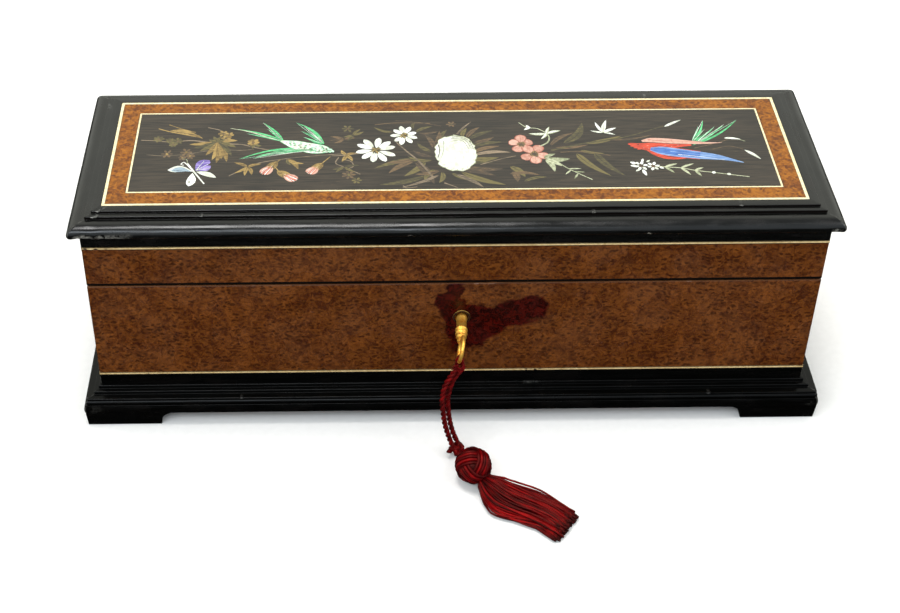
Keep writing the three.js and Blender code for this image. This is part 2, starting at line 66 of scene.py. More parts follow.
# ---------------------------------------------------------------- sizes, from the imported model
# Offsets are distances from the box's spine, a line through its middle that ends END_SPAN to each side.
MIDDLE_Y = (low("plinth_front").y + high("plinth_back").y) / 2
WALL_FACE = MIDDLE_Y - low("wall_front").y
WALL_INNER = MIDDLE_Y - high("wall_front").y
END_SPAN = high("wall_right").x - WALL_FACE
WALL_FOOT, WALL_TOP = low("wall_front").z, high("wall_front").z
RIM_FOOT, RIM_TOP = low("lid_rim_front").z, high("lid_rim_front").z
BASE_LINE = (low("stringing_base").z, high("stringing_base").z)
RIM_LINE = (low("stringing_rim").z, high("stringing_rim").z)
LINE_BACK = MIDDLE_Y - high("base_band_front").y
BAND_FOOT, BAND_TOP = low("base_band_front").z, high("base_band_front").z
FRIEZE_FOOT, FRIEZE_TOP = low("frieze_front").z, high("frieze_front").z
PLINTH_FOOT, PLINTH_TOP = low("plinth_front").z, high("plinth_front").z
CORNICE_FOOT, LID_TOP = low("cornice_front").z, high("cornice_front").z
CORNICE_INNER = MIDDLE_Y - high("cornice_front").y
FIELD_UNDER = low("picture_panel").z
PICTURE_EDGE = high("picture_panel").y - MIDDLE_Y
PANEL_LONG = END_SPAN + PICTURE_EDGE
OUTER_LINE = high("stringing_outer").y - MIDDLE_Y
INNER_LINE = high("stringing_inner").y - MIDDLE_Y
CROSSBAND = (MIDDLE_Y - high("crossband_front").y, MIDDLE_Y - low("crossband_front").y)
KEYHOLE_X = (low("escutcheon").x + high("escutcheon").x) / 2

# ---------------------------------------------------------------- sizes of the details
GLUE_LINE = 0.05
RUNNING_GAP = 0.3

# Plinth and cornice: offsets of their backs, height of the cornice's seat on the lid board, the (offset,
# height) corner of the plinth's tread, and offsets and heights of the small steps.
PLINTH_INNER = WALL_FACE + 0.1
PLINTH_TREAD = (57.2, 15.3)
PLINTH_STEP = 51.6
CORNICE_BACK = WALL_FACE - 1
CORNICE_SEAT = 107.2
OVOLO_SPRING = 105
STEP_OUTER, STEP_TOP = 47.9, 110.3
STEP_FOOT = 108.7
TOP_STEP = 45.25

# The painted shade along the joint at the rim's foot, and the dark seams of glue beside the stringing.
JOINT_SHADE = (RIM_FOOT - 0.1, RIM_FOOT + 1.45)
FACE_SEAM = 0.3
TOP_SEAM = 0.12

# Steps round a mitre, and places along a length: coarse, and fine where a dent is.
MITRE_STEPS = 4
STATION_GAP = 2.5
DENT_GAP = 0.22
# Steps round an eased edge, and how far from a mitre the places along a length draw together.
ROUND_STEPS = 3
MITRE_REACH = 12
SIDES = {
    "front": ("long", 0),
    "right": ("short", math.pi / 2),
    "back": ("long", math.pi),
    "left": ("short", -math.pi / 2),
}

# The picture: steps along a body and a leaf, corners of a flower's heart, and the bare edge of the ground.
LOFT_STEPS = 16
LEAF_STEPS = 9
HEART_POINTS = 12
FIGURE_MARGIN = 0.3

# Key and keyhole: the round hole's radius, and the half width and the depth of the slot below it.
KEYHOLE_Z = 56
KEYHOLE = (2.9, 1.2, 6.8)
KEYHOLE_STEPS = 28
SURROUND_WIDE = 0.95
KEY_TURN = math.radians(10)
KEY_TILT = math.radians(-3.5)
BOW_CENTRE, BOW_LONG, BOW_TALL = 22.2, 5.4, 5.3
BOW_WIRE = 0.95

# Lock and hinges.
MORTISE_HALF = 21
HINGES = ("hinge_left", "hinge_right")
LEAF_THICK = 1.2
LEAF_FOOT, LEAF_TOP = WALL_TOP - LEAF_THICK, RIM_FOOT + LEAF_THICK
SCREW_SPOTS = (-11, 0, 11)
SCREW_ROW = 2.6
SCREW_RADIUS = 1.3

# Cords of the tassel: their routes from the key's bow to the knot. The left one runs on to the ball's middle.
STRAND_LEFT = [
    (0.1, -77, 50), (-0.5, -77.5, 48.4), (-1.4, -77.9, 46.8), (-2.6, -78.3, 45.1),
    (-3.7, -78.6, 43.1), (-4.7, -78.9, 40.7), (-5.4, -79.2, 38), (-5.8, -79.4, 35),
    (-5.9, -79.6, 31.8), (-5.7, -79.8, 28.5), (-5.3, -80, 25.1), (-4.9, -80.1, 21.7),
    (-4.3, -80.2, 18.2), (-3.5, -80.3, 14.8), (-2.6, -80.3, 11.6), (-1.7, -80.3, 8.6),
]
STRAND_RIGHT = [
    (2.8, -76.9, 49.9), (2.3, -76.8, 48.1), (1.2, -76.7, 46.4), (0, -76.7, 44.6),
    (-1.1, -76.8, 42.4), (-1.9, -76.8, 39.9), (-2.6, -76.8, 37.1), (-3.1, -76.9, 34.1),
    (-3.4, -76.9, 31), (-3.3, -76.9, 27.8), (-3, -76.9, 24.5), (-2.6, -77.1, 21.2),
    (-2.1, -77.4, 17.9), (-1.4, -77.7, 14.7), (-0.5, -78, 11.6), (0.6, -78.3, 8.6),
]
STRAND_CORE = [(-0.6, -80.8, 6.2), (1, -82.3, 4.7), (3.2, -86.6, 4.9), (5.4, -91.2, 6.6), (7.6, -96, 8.9)]
STRAND_WIDE = 2.5
STRAND_LAY = 5.2
PLY_SHARE = 0.6
PLY_TINTS = (0.34, 0.52)

# Knot, woven ball and fringe.
KNOT_CENTRE = Vector((1.1, -79.9, 3.7))
BALL_CENTRE = Vector((7.6, -96, 8.9))
BALL_RADIUS = 8.5
BALL_CORDS = 5
BALL_CORD_RADIUS = 0.72
BALL_CORD_GAP = 1.42
BALL_WAVE = 0.4
BALL_FACING = Vector((-0.1, -0.75, 0.65)).normalized()
BALL_ROLL = math.radians(18)
SKIRT_START = Vector((13.1, -103.1, 0))
SKIRT_END = Vector((47.3, -127.2, 0))
FRINGE_STRANDS = 150
FRINGE_STEPS = 26
FRINGE_STRAND_RADIUS = 0.46
# Half breadth and height of the fringe at shares of its length.
FRINGE_FORM = [(0, 5.2, 8), (0.1, 7.6, 7.8), (0.22, 8.9, 7.2), (0.5, 9, 6), (0.8, 8.5, 4.6), (1, 8, 3.6)]

# The wine red stain round the keyhole: centre and half size in x and z, and its strength.
STAIN_BLOBS = [
    (-4.6, 65, 5.4, 5.2, 1), (0.3, 71, 4, 5.6, 1.1), (1.5, 64, 4.6, 4, 0.7), (-2, 58, 5, 6.5, 0.7),
    (3.5, 58.5, 7, 6.5, 1), (2.5, 49, 7.5, 8.5, 1), (10.5, 55, 7.5, 9, 1), (9, 44.5, 8, 6.5, 0.9),
    (17.5, 53, 7.5, 9.5, 0.9), (25.5, 58, 8.5, 8.5, 1), (34.5, 62, 8, 7, 1), (34, 55.5, 8, 5.5, 0.5),
    (2, 38.5, 6, 4.5, 0.55),
]

# Camera: place in millimetres, angles in radians, lens and sensor in millimetres, clipping in metres. The
# floor's half size is in metres too.
CAMERA_PLACE = (-38.12, -607.87, 510.51)
CAMERA_YAW, CAMERA_PITCH, CAMERA_ROLL = 0.0136117, 0.6920709, -0.0015729
CAMERA_SHIFT = (0.0722, 0.0271)
CAMERA_CLIP = (0.01, 20)
SENSOR_WIDTH = 36
FOCAL_LENGTH = 64.976
FLOOR_HALF = 14


def place(point):
    """A point in millimetres about the box's middle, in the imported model's frame in metres."""
    return Vector((point[0] * MM, (point[1] + MIDDLE_Y) * MM, point[2] * MM))


def add_object(name, data):
    obj = bpy.data.objects.new(name, data)
    bpy.context.scene.collection.objects.link(obj)
    return obj


def make_camera():
    data = bpy.data.cameras.new("camera")
    data.sensor_width = SENSOR_WIDTH
    data.lens = FOCAL_LENGTH
    data.shift_x, data.shift_y = CAMERA_SHIFT
    data.clip_start, data.clip_end = CAMERA_CLIP
    camera = add_object("camera", data)
    turn = Matrix.Rotation(-CAMERA_YAW, 4, "Z") @ Matrix.Rotation(math.pi / 2 - CAMERA_PITCH, 4, "X")
    turn = turn @ Matrix.Rotation(CAMERA_ROLL, 4, "Z")
    camera.matrix_world = Matrix.Translation(place(CAMERA_PLACE)) @ turn
    bpy.context.scene.camera = camera


make_camera()


# ---------------------------------------------------------------- shader helpers
def srgb(red, green, blue):
    """A colour from its 0 to 255 display values, as the shader's linear values."""
    shares = [value / 255 for value in (red, green, blue)]
    return (*(s / 12.92 if s <= 0.04045 else ((s + 0.055) / 1.055) ** 2.4 for s in shares), 1)


class Nodes:
    """Short calls for the nodes of a tree. Scales are in turns per metre."""

    def __init__(self, tree, coordinates):
        self.tree = tree
        self.place = self.node("TexCoord").outputs[coordinates]

    def node(self, kind, inputs=None, **settings):
        made = self.tree.nodes.new("ShaderNode" + kind)
        for key, value in settings.items():
            setattr(made, key, value)
        for key, value in (inputs or {}).items():
            self.feed(made.inputs[key], value)
        return made

    def feed(self, socket, value):
        if isinstance(value, bpy.types.NodeSocket):
            self.tree.links.new(value, socket)
        else:
            socket.default_value = value

    def noise(self, scale, detail=3, roughness=0.5, distortion=0, where=None, output="Fac"):
        inputs = {
            "Vector": where or self.place, "Scale": scale, "Detail": detail, "Roughness": roughness,
            "Distortion": distortion,
        }
        return self.node("TexNoise", inputs).outputs[output]

    def cells(self, scale, where):
        return self.node("TexVoronoi", {"Vector": where, "Scale": scale}).outputs["Distance"]

    def math(self, operation, first, second):
        return self.node("Math", {0: first, 1: second}, operation=operation).outputs[0]

    def times(self, first, second):
        return self.math("MULTIPLY", first, second)

    def weighed(self, *shares):
        """The sum of values, each times its weight."""
        total = self.times(*shares[0])
        for share in shares[1:]:
            total = self.math("ADD", total, self.times(*share))
        return total

    def vector(self, operation, first, second):
        node = self.node("VectorMath", {0: first, 1: second}, operation=operation)
        return node.outputs[1 if operation == "DOT_PRODUCT" else 0]

    def span(self, value, start, end, to_start=0, to_end=1, interpolation="SMOOTHSTEP"):
        inputs = {"Value": value, 1: start, 2: end, 3: to_start, 4: to_end}
        return self.node("MapRange", inputs, interpolation_type=interpolation).outputs["Result"]

    def ramp(self, value, *stops):
        node = self.node("ValToRGB", {"Fac": value})
        elements = node.color_ramp.elements
        while len(elements) < len(stops):
            elements.new(0.5)
        for element, (position, colour) in zip(elements, stops):
            element.position = position
            element.color = colour
        return node.outputs["Color"]

    def mix(self, share, first, second, blend="MIX"):
        inputs = {0: share, 6: first, 7: second}
        return self.node("Mix", inputs, data_type="RGBA", blend_type=blend).outputs[2]

    def stretched(self, scale, where=None):
        return self.node("Mapping", {"Vector": where or self.place, "Scale": scale}).outputs["Vector"]

    def shifted(self, amount, by, where=None):
        """The coordinates moved about by a noise's colour, so that what follows them bends."""
        centred = self.vector("SUBTRACT", by, (0.5, 0.5, 0.5))
        return self.vector("ADD", where or self.place, self.vector("MULTIPLY", centred, (amount,) * 3))

    def attribute(self, name):
        return self.node("Attribute", attribute_name=name).outputs["Fac"]

    def bump(self, height, distance, strength, normal=None):
        inputs = {"Height": height, "Distance": distance, "Strength": strength}
        if normal:
            inputs["Normal"] = normal
        return self.node("Bump", inputs).outputs["Normal"]


class Finish(Nodes):
    """A material of the object or the floor."""

    def __init__(self, name):
        self.material = bpy.data.materials.new(name)
        self.material.use_nodes = True
        super().__init__(self.material.node_tree, "Object")

    def surface(self, colour, roughness, **more):
        """Sets the shader's sockets and gives the finished material."""
        shader = self.tree.nodes["Principled BSDF"]
        for key, value in {"Base_Color": colour, "Roughness": roughness, **more}.items():
            self.feed(shader.inputs[key.replace("_", " ")], value)
        return self.material


# ---------------------------------------------------------------- finishes
def grained(along, narrow):
    """Scales that stretch a pattern along one axis, for the grain of wood."""
    return [narrow if axis == along else 1 for axis in "xyz"]


def stain_mask(finish, where, unevenness):
    """How strongly the stain shows at a point of the front."""
    total = unevenness
    for x, z, half_x, half_z, strength in STAIN_BLOBS:
        away = finish.vector("SUBTRACT", where, (x * MM, 0, z * MM))
        away = finish.vector("MULTIPLY", away, (1 / (half_x * MM), 0, 1 / (half_z * MM)))
        squared = finish.vector("DOT_PRODUCT", away, away)
        total = finish.math("ADD", total, finish.span(squared, 1.3, 0, 0, strength))
    depth = finish.node("SeparateXYZ", {"Vector": where}).outputs["Y"]
    at_front = finish.span(depth, (MIDDLE_Y - WALL_FACE + 3) * MM, (MIDDLE_Y - WALL_FACE + 1) * MM)
    return finish.times(finish.span(total, 0.42, 0.9), at_front)


def burr(name, dark, middle, light, eyes, warmth, gloss=0.22, stained=False):
    """Polished burr veneer: warm and dull patches, a fine mottle and crowds of small dark eyes."""
    finish = Finish(name)
    drift = finish.noise(90, 3, 0.6, output="Color")
    bent = finish.shifted(0.006, drift)
    patches = finish.noise(62, 4, 0.6, 0.5, bent)
    mottle = finish.noise(330, 5, 0.7, 1.1, bent)
    fibres = finish.noise(900, 3, 0.65, 0, finish.stretched((0.45, 0.45, 1), bent))
    tone = finish.weighed((mottle, 0.6), (patches, 0.25), (fibres, 0.15))
    colour = finish.ramp(tone, (0.42, dark), (0.5, middle), (0.58, light))
    for scale, edge, moved, start, end, most, tint, blend in (
        (70, 0.55, 0.5, 0.5, 0.66, 0.65, warmth, "SCREEN"),
        (84, 0.55, 0.7, 0.52, 0.68, 0.4, srgb(72, 40, 34), "MIX"),
        (48, 0.6, 0.9, 0.5, 0.7, 0.3, eyes, "MIX"),
    ):
        broad = finish.noise(scale, 3, edge, 0, finish.shifted(moved, drift))
        colour = finish.mix(finish.span(broad, start, end, 0, most), colour, tint, blend)
    jittered = finish.shifted(0.0018, finish.noise(500, 3, 0.6, output="Color"), bent)
    shown = finish.span(finish.noise(110, 2, 0.5, 0.3), 0.34, 0.5)
    small = finish.cells(430, finish.stretched((0.8, 0.8, 1.3), jittered))
    large = finish.cells(260, finish.stretched((0.7, 0.7, 1.4), jittered))
    cores = finish.math("MAXIMUM", finish.span(small, 0.38, 0.16), finish.span(large, 0.34, 0.14))
    halo = finish.times(finish.span(large, 0.62, 0.36), shown)
    colour = finish.mix(finish.times(halo, 0.35), colour, light)
    colour = finish.mix(finish.times(finish.times(cores, shown), 0.8), colour, eyes)
    if stained:
        ragged = finish.shifted(0.006, finish.noise(210, 5, 0.65, output="Color"))
        mask = stain_mask(finish, ragged, finish.times(mottle, 0.5))
        soaked = finish.mix(finish.span(mottle, 0.42, 0.6), srgb(26, 0, 0), srgb(60, 1, 0))
        colour = finish.mix(finish.times(mask, 0.95), colour, soaked)
    rough = finish.span(finish.noise(60, 3, 0.6), 0.3, 0.7, gloss - 0.04, gloss + 0.1)
    normal = finish.bump(finish.weighed((large, 0.25), (fibres, 0.3)), 0.00004, 0.8)
    return finish.surface(colour, rough, Normal=normal, Specular_IOR_Level=0.22)


def ebony(name, along, shine, lift=1):
    """Black stained and polished wood, with its grain along one axis and grey where it has worn."""
    finish = Finish(name)
    scale = grained(along, 0.04)
    grain = finish.noise(1500, 4, 0.65, 0, finish.stretched(scale))
    broad = finish.noise(160, 3, 0.5, 0, finish.stretched([0.4 + 0.6 * s for s in scale]))
    # A lift below 1 darkens every colour here, as painted shade for the low parts.
    dark, light = (4 * lift, 4 * lift, 3 * lift), (13 * lift, 13 * lift, 12 * lift)
    colour = finish.ramp(grain, (0.4, srgb(*dark)), (0.7, srgb(*light)))
    colour = finish.mix(finish.span(broad, 0.5, 0.75, 0, 0.3 * lift), colour, srgb(24, 17, 14))
    patchy = finish.times(finish.attribute("wear"), finish.span(finish.noise(700, 4, 0.6), 0.35, 0.6))
    colour = finish.mix(patchy, colour, srgb(120, 118, 112))
    waves = finish.noise(42, 2, 0.5, 0, finish.stretched([0.5 + 0.5 * s for s in scale]))
    normal = finish.bump(grain, 0.00003, 0.6, finish.bump(waves, 0.0011, 0.5))
    rough = finish.span(broad, 0.3, 0.7, 0.13, 0.3)
    return finish.surface(colour, rough, Normal=normal, Specular_IOR_Level=shine)


def boxwood(name, dark, middle, light):
    """Pale polished stringing with a little dirt, dark where it is chipped."""
    finish = Finish(name)
    fine = finish.noise(700, 4, 0.6)
    colour = finish.ramp(fine, (0.3, dark), (0.5, middle), (0.75, light))
    colour = finish.mix(finish.span(finish.noise(70, 2), 0.45, 0.75, 0, 0.5), colour, dark)
    colour = finish.mix(finish.attribute("wear"), colour, srgb(70, 50, 34))
    return finish.surface(colour, 0.38, Normal=finish.bump(fine, 0.00004, 0.6))


def plain_wood(name, dark, light, roughness=0.42, shine=0.5):
    """Plain straight-grained wood, for the inside, the underside and the dark joints, and as painted shade on
    the cornice's risers and at the rim's foot.
    """
    finish = Finish(name)
    drift = finish.noise(25, 2, output="Color")
    bent = finish.stretched(grained("x", 0.06), finish.shifted(0.004, drift))
    grain = finish.noise(700, 5, 0.6, 0, bent)
    rings = finish.noise(120, 2, 0.4, 0, bent)
    colour = finish.ramp(finish.weighed((grain, 0.5), (rings, 0.5)), (0.36, dark), (0.64, light))
    normal = finish.bump(grain, 0.00008, 0.7)
    return finish.surface(colour, roughness, Normal=normal, Specular_IOR_Level=shine)


def metal(name, light, dark, roughness, metallic=1):
    """Old polished metal, darker where hands have not kept it bright."""
    finish = Finish(name)
    tarnish = finish.noise(350, 4, 0.6)
    scratches = finish.noise(2200, 3, 0.6, 0, finish.stretched((1, 0.15, 1)))
    colour = finish.mix(finish.span(tarnish, 0.45, 0.7), light, dark)
    rough = finish.span(tarnish, 0.3, 0.7, roughness, roughness + 0.2)
    return finish.surface(colour, rough, Metallic=metallic, Normal=finish.bump(scratches, 0.00003, 0.6))


def silk(name, deep, middle, bright):
    """Wine red silk: each thread has a tone of its own and catches a reddish light."""
    finish = Finish(name)
    fibres = finish.noise(4200, 3, 0.6)
    tone = finish.weighed((fibres, 0.3), (finish.noise(230), 0.3), (finish.attribute("tint"), 0.4))
    colour = finish.ramp(tone, (0.34, deep), (0.5, middle), (0.7, bright))
    normal = finish.bump(fibres, 0.00006, 0.6)
    return finish.surface(
        colour, 0.34, Normal=normal, Specular_IOR_Level=0.4, Specular_Tint=(1, 0.2, 0.16, 1)
    )


def inlay(name, light, dark, along, scale, roughness, shine=0.5, age=0.12):
    """One cut sheet of the picture: stained wood or bone, with its own fine grain and a tone of its own."""
    finish = Finish(f"inlay_{name}")
    light, dark = srgb(*light), srgb(*dark)
    grain = finish.noise(scale, 4, 0.6, 0, finish.stretched(along))
    own = finish.math("SUBTRACT", finish.attribute("tint"), 0.5)
    colour = finish.ramp(finish.weighed((grain, 1), (own, 0.35)), (0.34, dark), (0.62, light))
    aged = finish.noise(45, 3, 0.55, 0, finish.stretched((0.5, 1, 1)))
    colour = finish.mix(finish.span(aged, 0.42, 0.68, 0, age), colour, dark)
    normal = finish.bump(grain, 0.00003, 0.6)
    return finish.surface(colour, roughness, Normal=normal, Specular_IOR_Level=shine)


BURR_TONES = (srgb(53, 21, 3), srgb(80, 40, 9), srgb(104, 56, 16), srgb(44, 17, 3), srgb(62, 22, 0))
BURR = burr("burr_veneer", *BURR_TONES)
BURR_FRONT = burr("burr_veneer_front", *BURR_TONES, stained=True)
BAND_TONES = (srgb(80, 37, 7), srgb(128, 71, 12), srgb(164, 100, 22), srgb(86, 42, 10), srgb(88, 42, 0))
BURR_BAND = burr("burr_crossband", *BAND_TONES, gloss=0.3)
# Near black wood: the real dark glue seams, and painted shade on the cornice's risers and in a band at the
# rim's foot.
DARK_JOINT_AND_SHADE = plain_wood("dark_joint_and_painted_shade", srgb(5, 3, 2), srgb(12, 7, 5), roughness=0.9, shine=0.05)
GRAINS = {"long": "x", "short": "y"}
EBONY = {along: ebony(f"ebonised_wood_{along}", axis, 0.42) for along, axis in GRAINS.items()}
# A darker copy of the ebonised wood, with less shine, for the plinth, base band and feet: its darkness is
# painted shade on the low parts.
EBONY_SHADED = {along: ebony(f"ebonised_painted_shade_{along}", axis, 0.14, 0.45) for along, axis in GRAINS.items()}
STRING = boxwood("boxwood_stringing", srgb(168, 138, 88), srgb(198, 170, 118), srgb(212, 188, 140))
STRING_TOP = boxwood("boxwood_top_stringing", srgb(214, 194, 142), srgb(238, 222, 178), srgb(250, 238, 202))
CARCASS = plain_wood("carcass_wood", srgb(88, 50, 28), srgb(132, 84, 48))
BRASS = metal("old_brass", srgb(236, 190, 98), srgb(170, 112, 38), 0.3)
# Brass for the key, made lighter than the other brass: painted light on the barrel, which the lid keeps in
# shadow.
KEY_BRASS_LIT = metal("key_brass_painted_light", srgb(255, 194, 84), srgb(214, 130, 34), 0.3, 0.8)
# Near black brass, used as painted shade on the front face of the keyhole's lip.
BRASS_SHADE = metal("brass_painted_shade", srgb(58, 30, 20), srgb(30, 14, 12), 0.45, 0.6)
STEEL = metal("dull_steel", srgb(150, 146, 140), srgb(84, 78, 72), 0.35)
SILK = silk("wine_silk", srgb(20, 0, 1), srgb(82, 0, 3), srgb(154, 4, 8))
# The picture's sheets: light and dark tone, the stretch and scale of the grain, and the roughness; for the
# ground also its shine and how much it has darkened.
CALM, FINE = (0.3, 1, 1), 900
PAINT = {
    name: inlay(name, *looks)
    for name, looks in {
        "ground": ((62, 52, 41), (24, 20, 16), (0.05, 1, 1), 1300, 0.38, 0.42, 0.5),
        "bone": ((246, 246, 236), (200, 202, 184), (1, 0.6, 1), 500, 0.35),
        "bone_shade": ((192, 194, 160), (126, 132, 98), (1, 0.6, 1), 700, 0.35),
        "pearl": ((150, 168, 178), (84, 100, 118), CALM, FINE, 0.25),
        "violet": ((176, 156, 214), (96, 78, 150), CALM, FINE, 0.3),
        "green": ((100, 206, 134), (44, 140, 84), (0.4, 1, 1), 1100, 0.3),
        "pale_green": ((186, 230, 196), (120, 186, 144), (0.4, 1, 1), 1100, 0.3),
        "rose": ((214, 168, 148), (180, 122, 104), (1, 0.5, 1), 700, 0.35),
        "salmon": ((178, 108, 90), (146, 80, 64), CALM, FINE, 0.35),
        "red": ((214, 72, 42), (150, 38, 26), CALM, FINE, 0.35),
        "blue": ((72, 116, 186), (40, 78, 148), CALM, FINE, 0.35),
        "pale_blue": ((144, 174, 214), (96, 130, 180), CALM, FINE, 0.35),
        "tan": ((166, 136, 76), (106, 84, 44), CALM, 1300, 0.4),
        "olive": ((110, 98, 56), (62, 56, 36), CALM, 1300, 0.4),
        "umber": ((112, 88, 60), (64, 52, 40), CALM, 1300, 0.4),
        "twig": ((144, 124, 100), (88, 76, 60), CALM, FINE, 0.4),
        "line": ((40, 30, 22), (24, 18, 14), (1, 1, 1), FINE, 0.4),
    }.items()
}


# ---------------------------------------------------------------- mesh helpers
def declare(obj, body, slot, replaces):
    """Which body a piece rides on, and the CAD nodes it stands for. slot is not used."""
    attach(obj, body)
    if replaces:
        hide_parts(*replaces)


def piece(name, points, faces, body, finishes, slot, replaces=(), smooth=True, attributes=None):
    """A piece from points in millimetres. finishes is one material, or a list with one for each face."""
    mesh = bpy.data.meshes.new(name)
    mesh.from_pydata([place(p) for p in points], [], faces)
    many = isinstance(finishes, list)
    used = list(dict.fromkeys(finishes)) if many else [finishes]
    for material in used:
        mesh.materials.append(material)
    if many:
        mesh.polygons.foreach_set("material_index", [used.index(m) for m in finishes])
    for key, values in (attributes or {}).items():
        domain = "POINT" if len(values) == len(points) else "FACE"
        mesh.attributes.new(key, "FLOAT", domain).data.foreach_set("value", values)
    mesh.polygons.foreach_set("use_smooth", [smooth] * len(mesh.polygons))
    mesh.validate()
    obj = add_object(name, mesh)
    declare(obj, body, slot, replaces)
    return obj


def sharpen(obj, degrees=35):
    """Smooth shading that keeps the corners sharp that turn by more than this angle."""
    mesh = bmesh.new()
    mesh.from_mesh(obj.data)
    for edge in mesh.edges:
        if len(edge.link_faces) == 2 and edge.calc_face_angle(0) > math.radians(degrees):
            edge.smooth = False
    mesh.to_mesh(obj.data)
    mesh.free()
    return obj


def full_turn(count):
    """Angles in equal steps round a full turn, from 0."""
    return [2 * math.pi * k / count for k in range(count)]


def skin(rings, sides, closed=False, flipped=False):
    """Faces over a run of rings of points, which closes to a loop or else has a cap at each end."""
    faces = []
    for i in range(rings if closed else rings - 1):
        here, ahead = i * sides, (i + 1) % rings * sides
        for k in range(sides):
            n = (k + 1) % sides
            quad = (here + k, here + n, ahead + n, ahead + k)
            faces.append((quad[0], *quad[:0:-1]) if flipped else quad)
    if not closed:
        first, last = range(sides), range((rings - 1) * sides, rings * sides)
        faces += [tuple(first), tuple(last[::-1])] if flipped else [tuple(first[::-1]), tuple(last)]
    return faces


def joined(bodies):
    """Several closed bodies as one: their points, faces, and the tones of the points."""
    points, faces, tints = [], [], []
    for made, quads, shades in bodies:
        base = len(points)
        points += made
        faces += [tuple(base + v for v in face) for face in quads]
        tints += shades
    return points, faces, tints


def curve_points(points, count):
    """A smooth run through the given points, as a Catmull-Rom curve in equal shares."""
    padded = [Vector(points[0]) * 2 - Vector(points[1]), *map(Vector, points)]
    padded.append(Vector(points[-1]) * 2 - Vector(points[-2]))
    spans = len(points) - 1
    made = []
    for i in range(count + 1):
        share = i / count * spans
        k = min(int(share), spans - 1)
        t = share - k
        a, b, c, d = padded[k : k + 4]
        made.append(
            0.5 * (2 * b + (c - a) * t + (2 * a - 5 * b + 4 * c - d) * t**2 + (3 * b - a - 3 * c + d) * t**3)
        )
    return made


def frames_along(points):
    """For each point of a run, two directions across it that turn as little as they can."""
    across = None
    found = []
    for i in range(len(points)):
        before, after = points[max(i - 1, 0)], points[min(i + 1, len(points) - 1)]
        ahead = (after - before).normalized()
        if across is None:
            across = ahead.orthogonal()
        across = (across - ahead * across.dot(ahead)).normalized()
        found.append((across.copy(), ahead.cross(across)))
    return found


def tube(points, radii, sides):
    """Points and faces of a round tube along a run."""
    made = []
    for point, radius, (across, up) in zip(points, radii, frames_along(points)):
        for angle in full_turn(sides):
            made.append(point + across * (radius * math.cos(angle)) + up * (radius * math.sin(angle)))
    return made, skin(len(points), sides)


# ---------------------------------------------------------------- cords of the tassel
def travelled(line):
    """The length of a run up to each of its points."""
    lengths = [0]
    for before, after in zip(line, line[1:]):
        lengths.append(lengths[-1] + (after - before).length)
    return lengths


def twisted_cord(line, half, lay):
    """A laid cord: plies that wind round a run once in every lay, each with a tone of its own."""
    ply_radius = half * PLY_SHARE
    away = half - ply_radius
    plies = []
    for ply, tint in enumerate(PLY_TINTS):
        run = []
        for point, (across, up), length in zip(line, frames_along(line), travelled(line)):
            angle = 2 * math.pi * (length / lay + ply / len(PLY_TINTS))
            run.append(point + across * (away * math.cos(angle)) + up * (away * math.sin(angle)))
        points, faces = tube(run, [ply_radius] * len(run), 10)
        plies.append((points, faces, [tint] * len(points)))
    return joined(plies)


def cord_through(route, steps, half, lay):
    """A laid cord along the smooth run through some points."""
    return twisted_cord(curve_points(route, steps), half, lay)


def make_strands():
    """The two strands that hang from the key, each with its middle line and length."""
    made = []
    for side, route in (("left", STRAND_LEFT + STRAND_CORE), ("right", STRAND_RIGHT)):
        line = curve_points(route, 15 * len(route))
        points, faces, tints = twisted_cord(line, STRAND_WIDE / 2, STRAND_LAY)
        name = f"tassel_strand_{side}"
        obj = piece(name, points, faces, "box", SILK, "silk", [f"cord_{side}"], attributes={"tint": tints})
        made.append((obj, line, travelled(line)[-1]))
    return made


STRANDS = make_strands()


def declare_strands(hitch, hanging):
    """Each strand runs from bow to knot, and the other silk pieces go with the left one; this only works
    through their points and keeps nothing.
    """
    for (strand, line, length), pieces in zip(STRANDS, ([hitch, *hanging], [])):
        tuple(place(line[0]))
        [place(p) for p in line]
        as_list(pieces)


# ---------------------------------------------------------------- mitred lengths round the box
def quadratic(start, control, end, share):
    return start * (1 - share) ** 2 + control * 2 * share * (1 - share) + end * share**2


def rounded(corners):
    """An outline of (offset, height, radius) corners, each eased by its radius."""
    points = []
    for i, (t, z, radius) in enumerate(corners):
        here = Vector((t, z))
        if not radius:
            points.append(here)
            continue
        ends = []
        for neighbour in (corners[i - 1], corners[(i + 1) % len(corners)]):
            way = Vector(neighbour[:2]) - here
            ends.append(here + way.normalized() * min(radius, way.length * 0.48))
        for k in range(ROUND_STEPS + 1):
            points.append(quadratic(ends[0], here, ends[1], k / ROUND_STEPS))
    return points


def bend(start, control, end, steps):
    """Points of a quadratic curve, without its first one."""
    ends = [Vector(point) for point in (start, control, end)]
    return [(*quadratic(*ends, k / steps), 0) for k in range(1, steps + 1)]


def arc(centre, radii, start, end, steps):
    """Points of an elliptical arc from one angle to another, in degrees."""
    made = []
    for k in range(steps + 1):
        angle = math.radians(start + (end - start) * k / steps)
        made.append((centre[0] + radii[0] * math.cos(angle), centre[1] + radii[1] * math.sin(angle), 0))
    return made


def stations(half, dents):
    """Places along a length, about its middle: coarse, and fine where a dent is."""
    count = max(2, round(2 * half / STATION_GAP))
    stops = {round(-half + 2 * half * k / count, 3) for k in range(count + 1)}
    for along, _, _, length, *_ in dents:
        reach = length * 1.3
        fine = max(4, round(2 * reach / DENT_GAP))
        spots = [along - reach + 2 * reach * k / fine for k in range(fine + 1)]
        stops |= {round(spot, 3) for spot in spots if abs(spot) < half}
    ordered = sorted(stops)
    kept = [ordered[0]]
    for stop in ordered[1:]:
        if stop - kept[-1] > 0.08:
            kept.append(stop)
    kept[-1] = ordered[-1]
    return kept


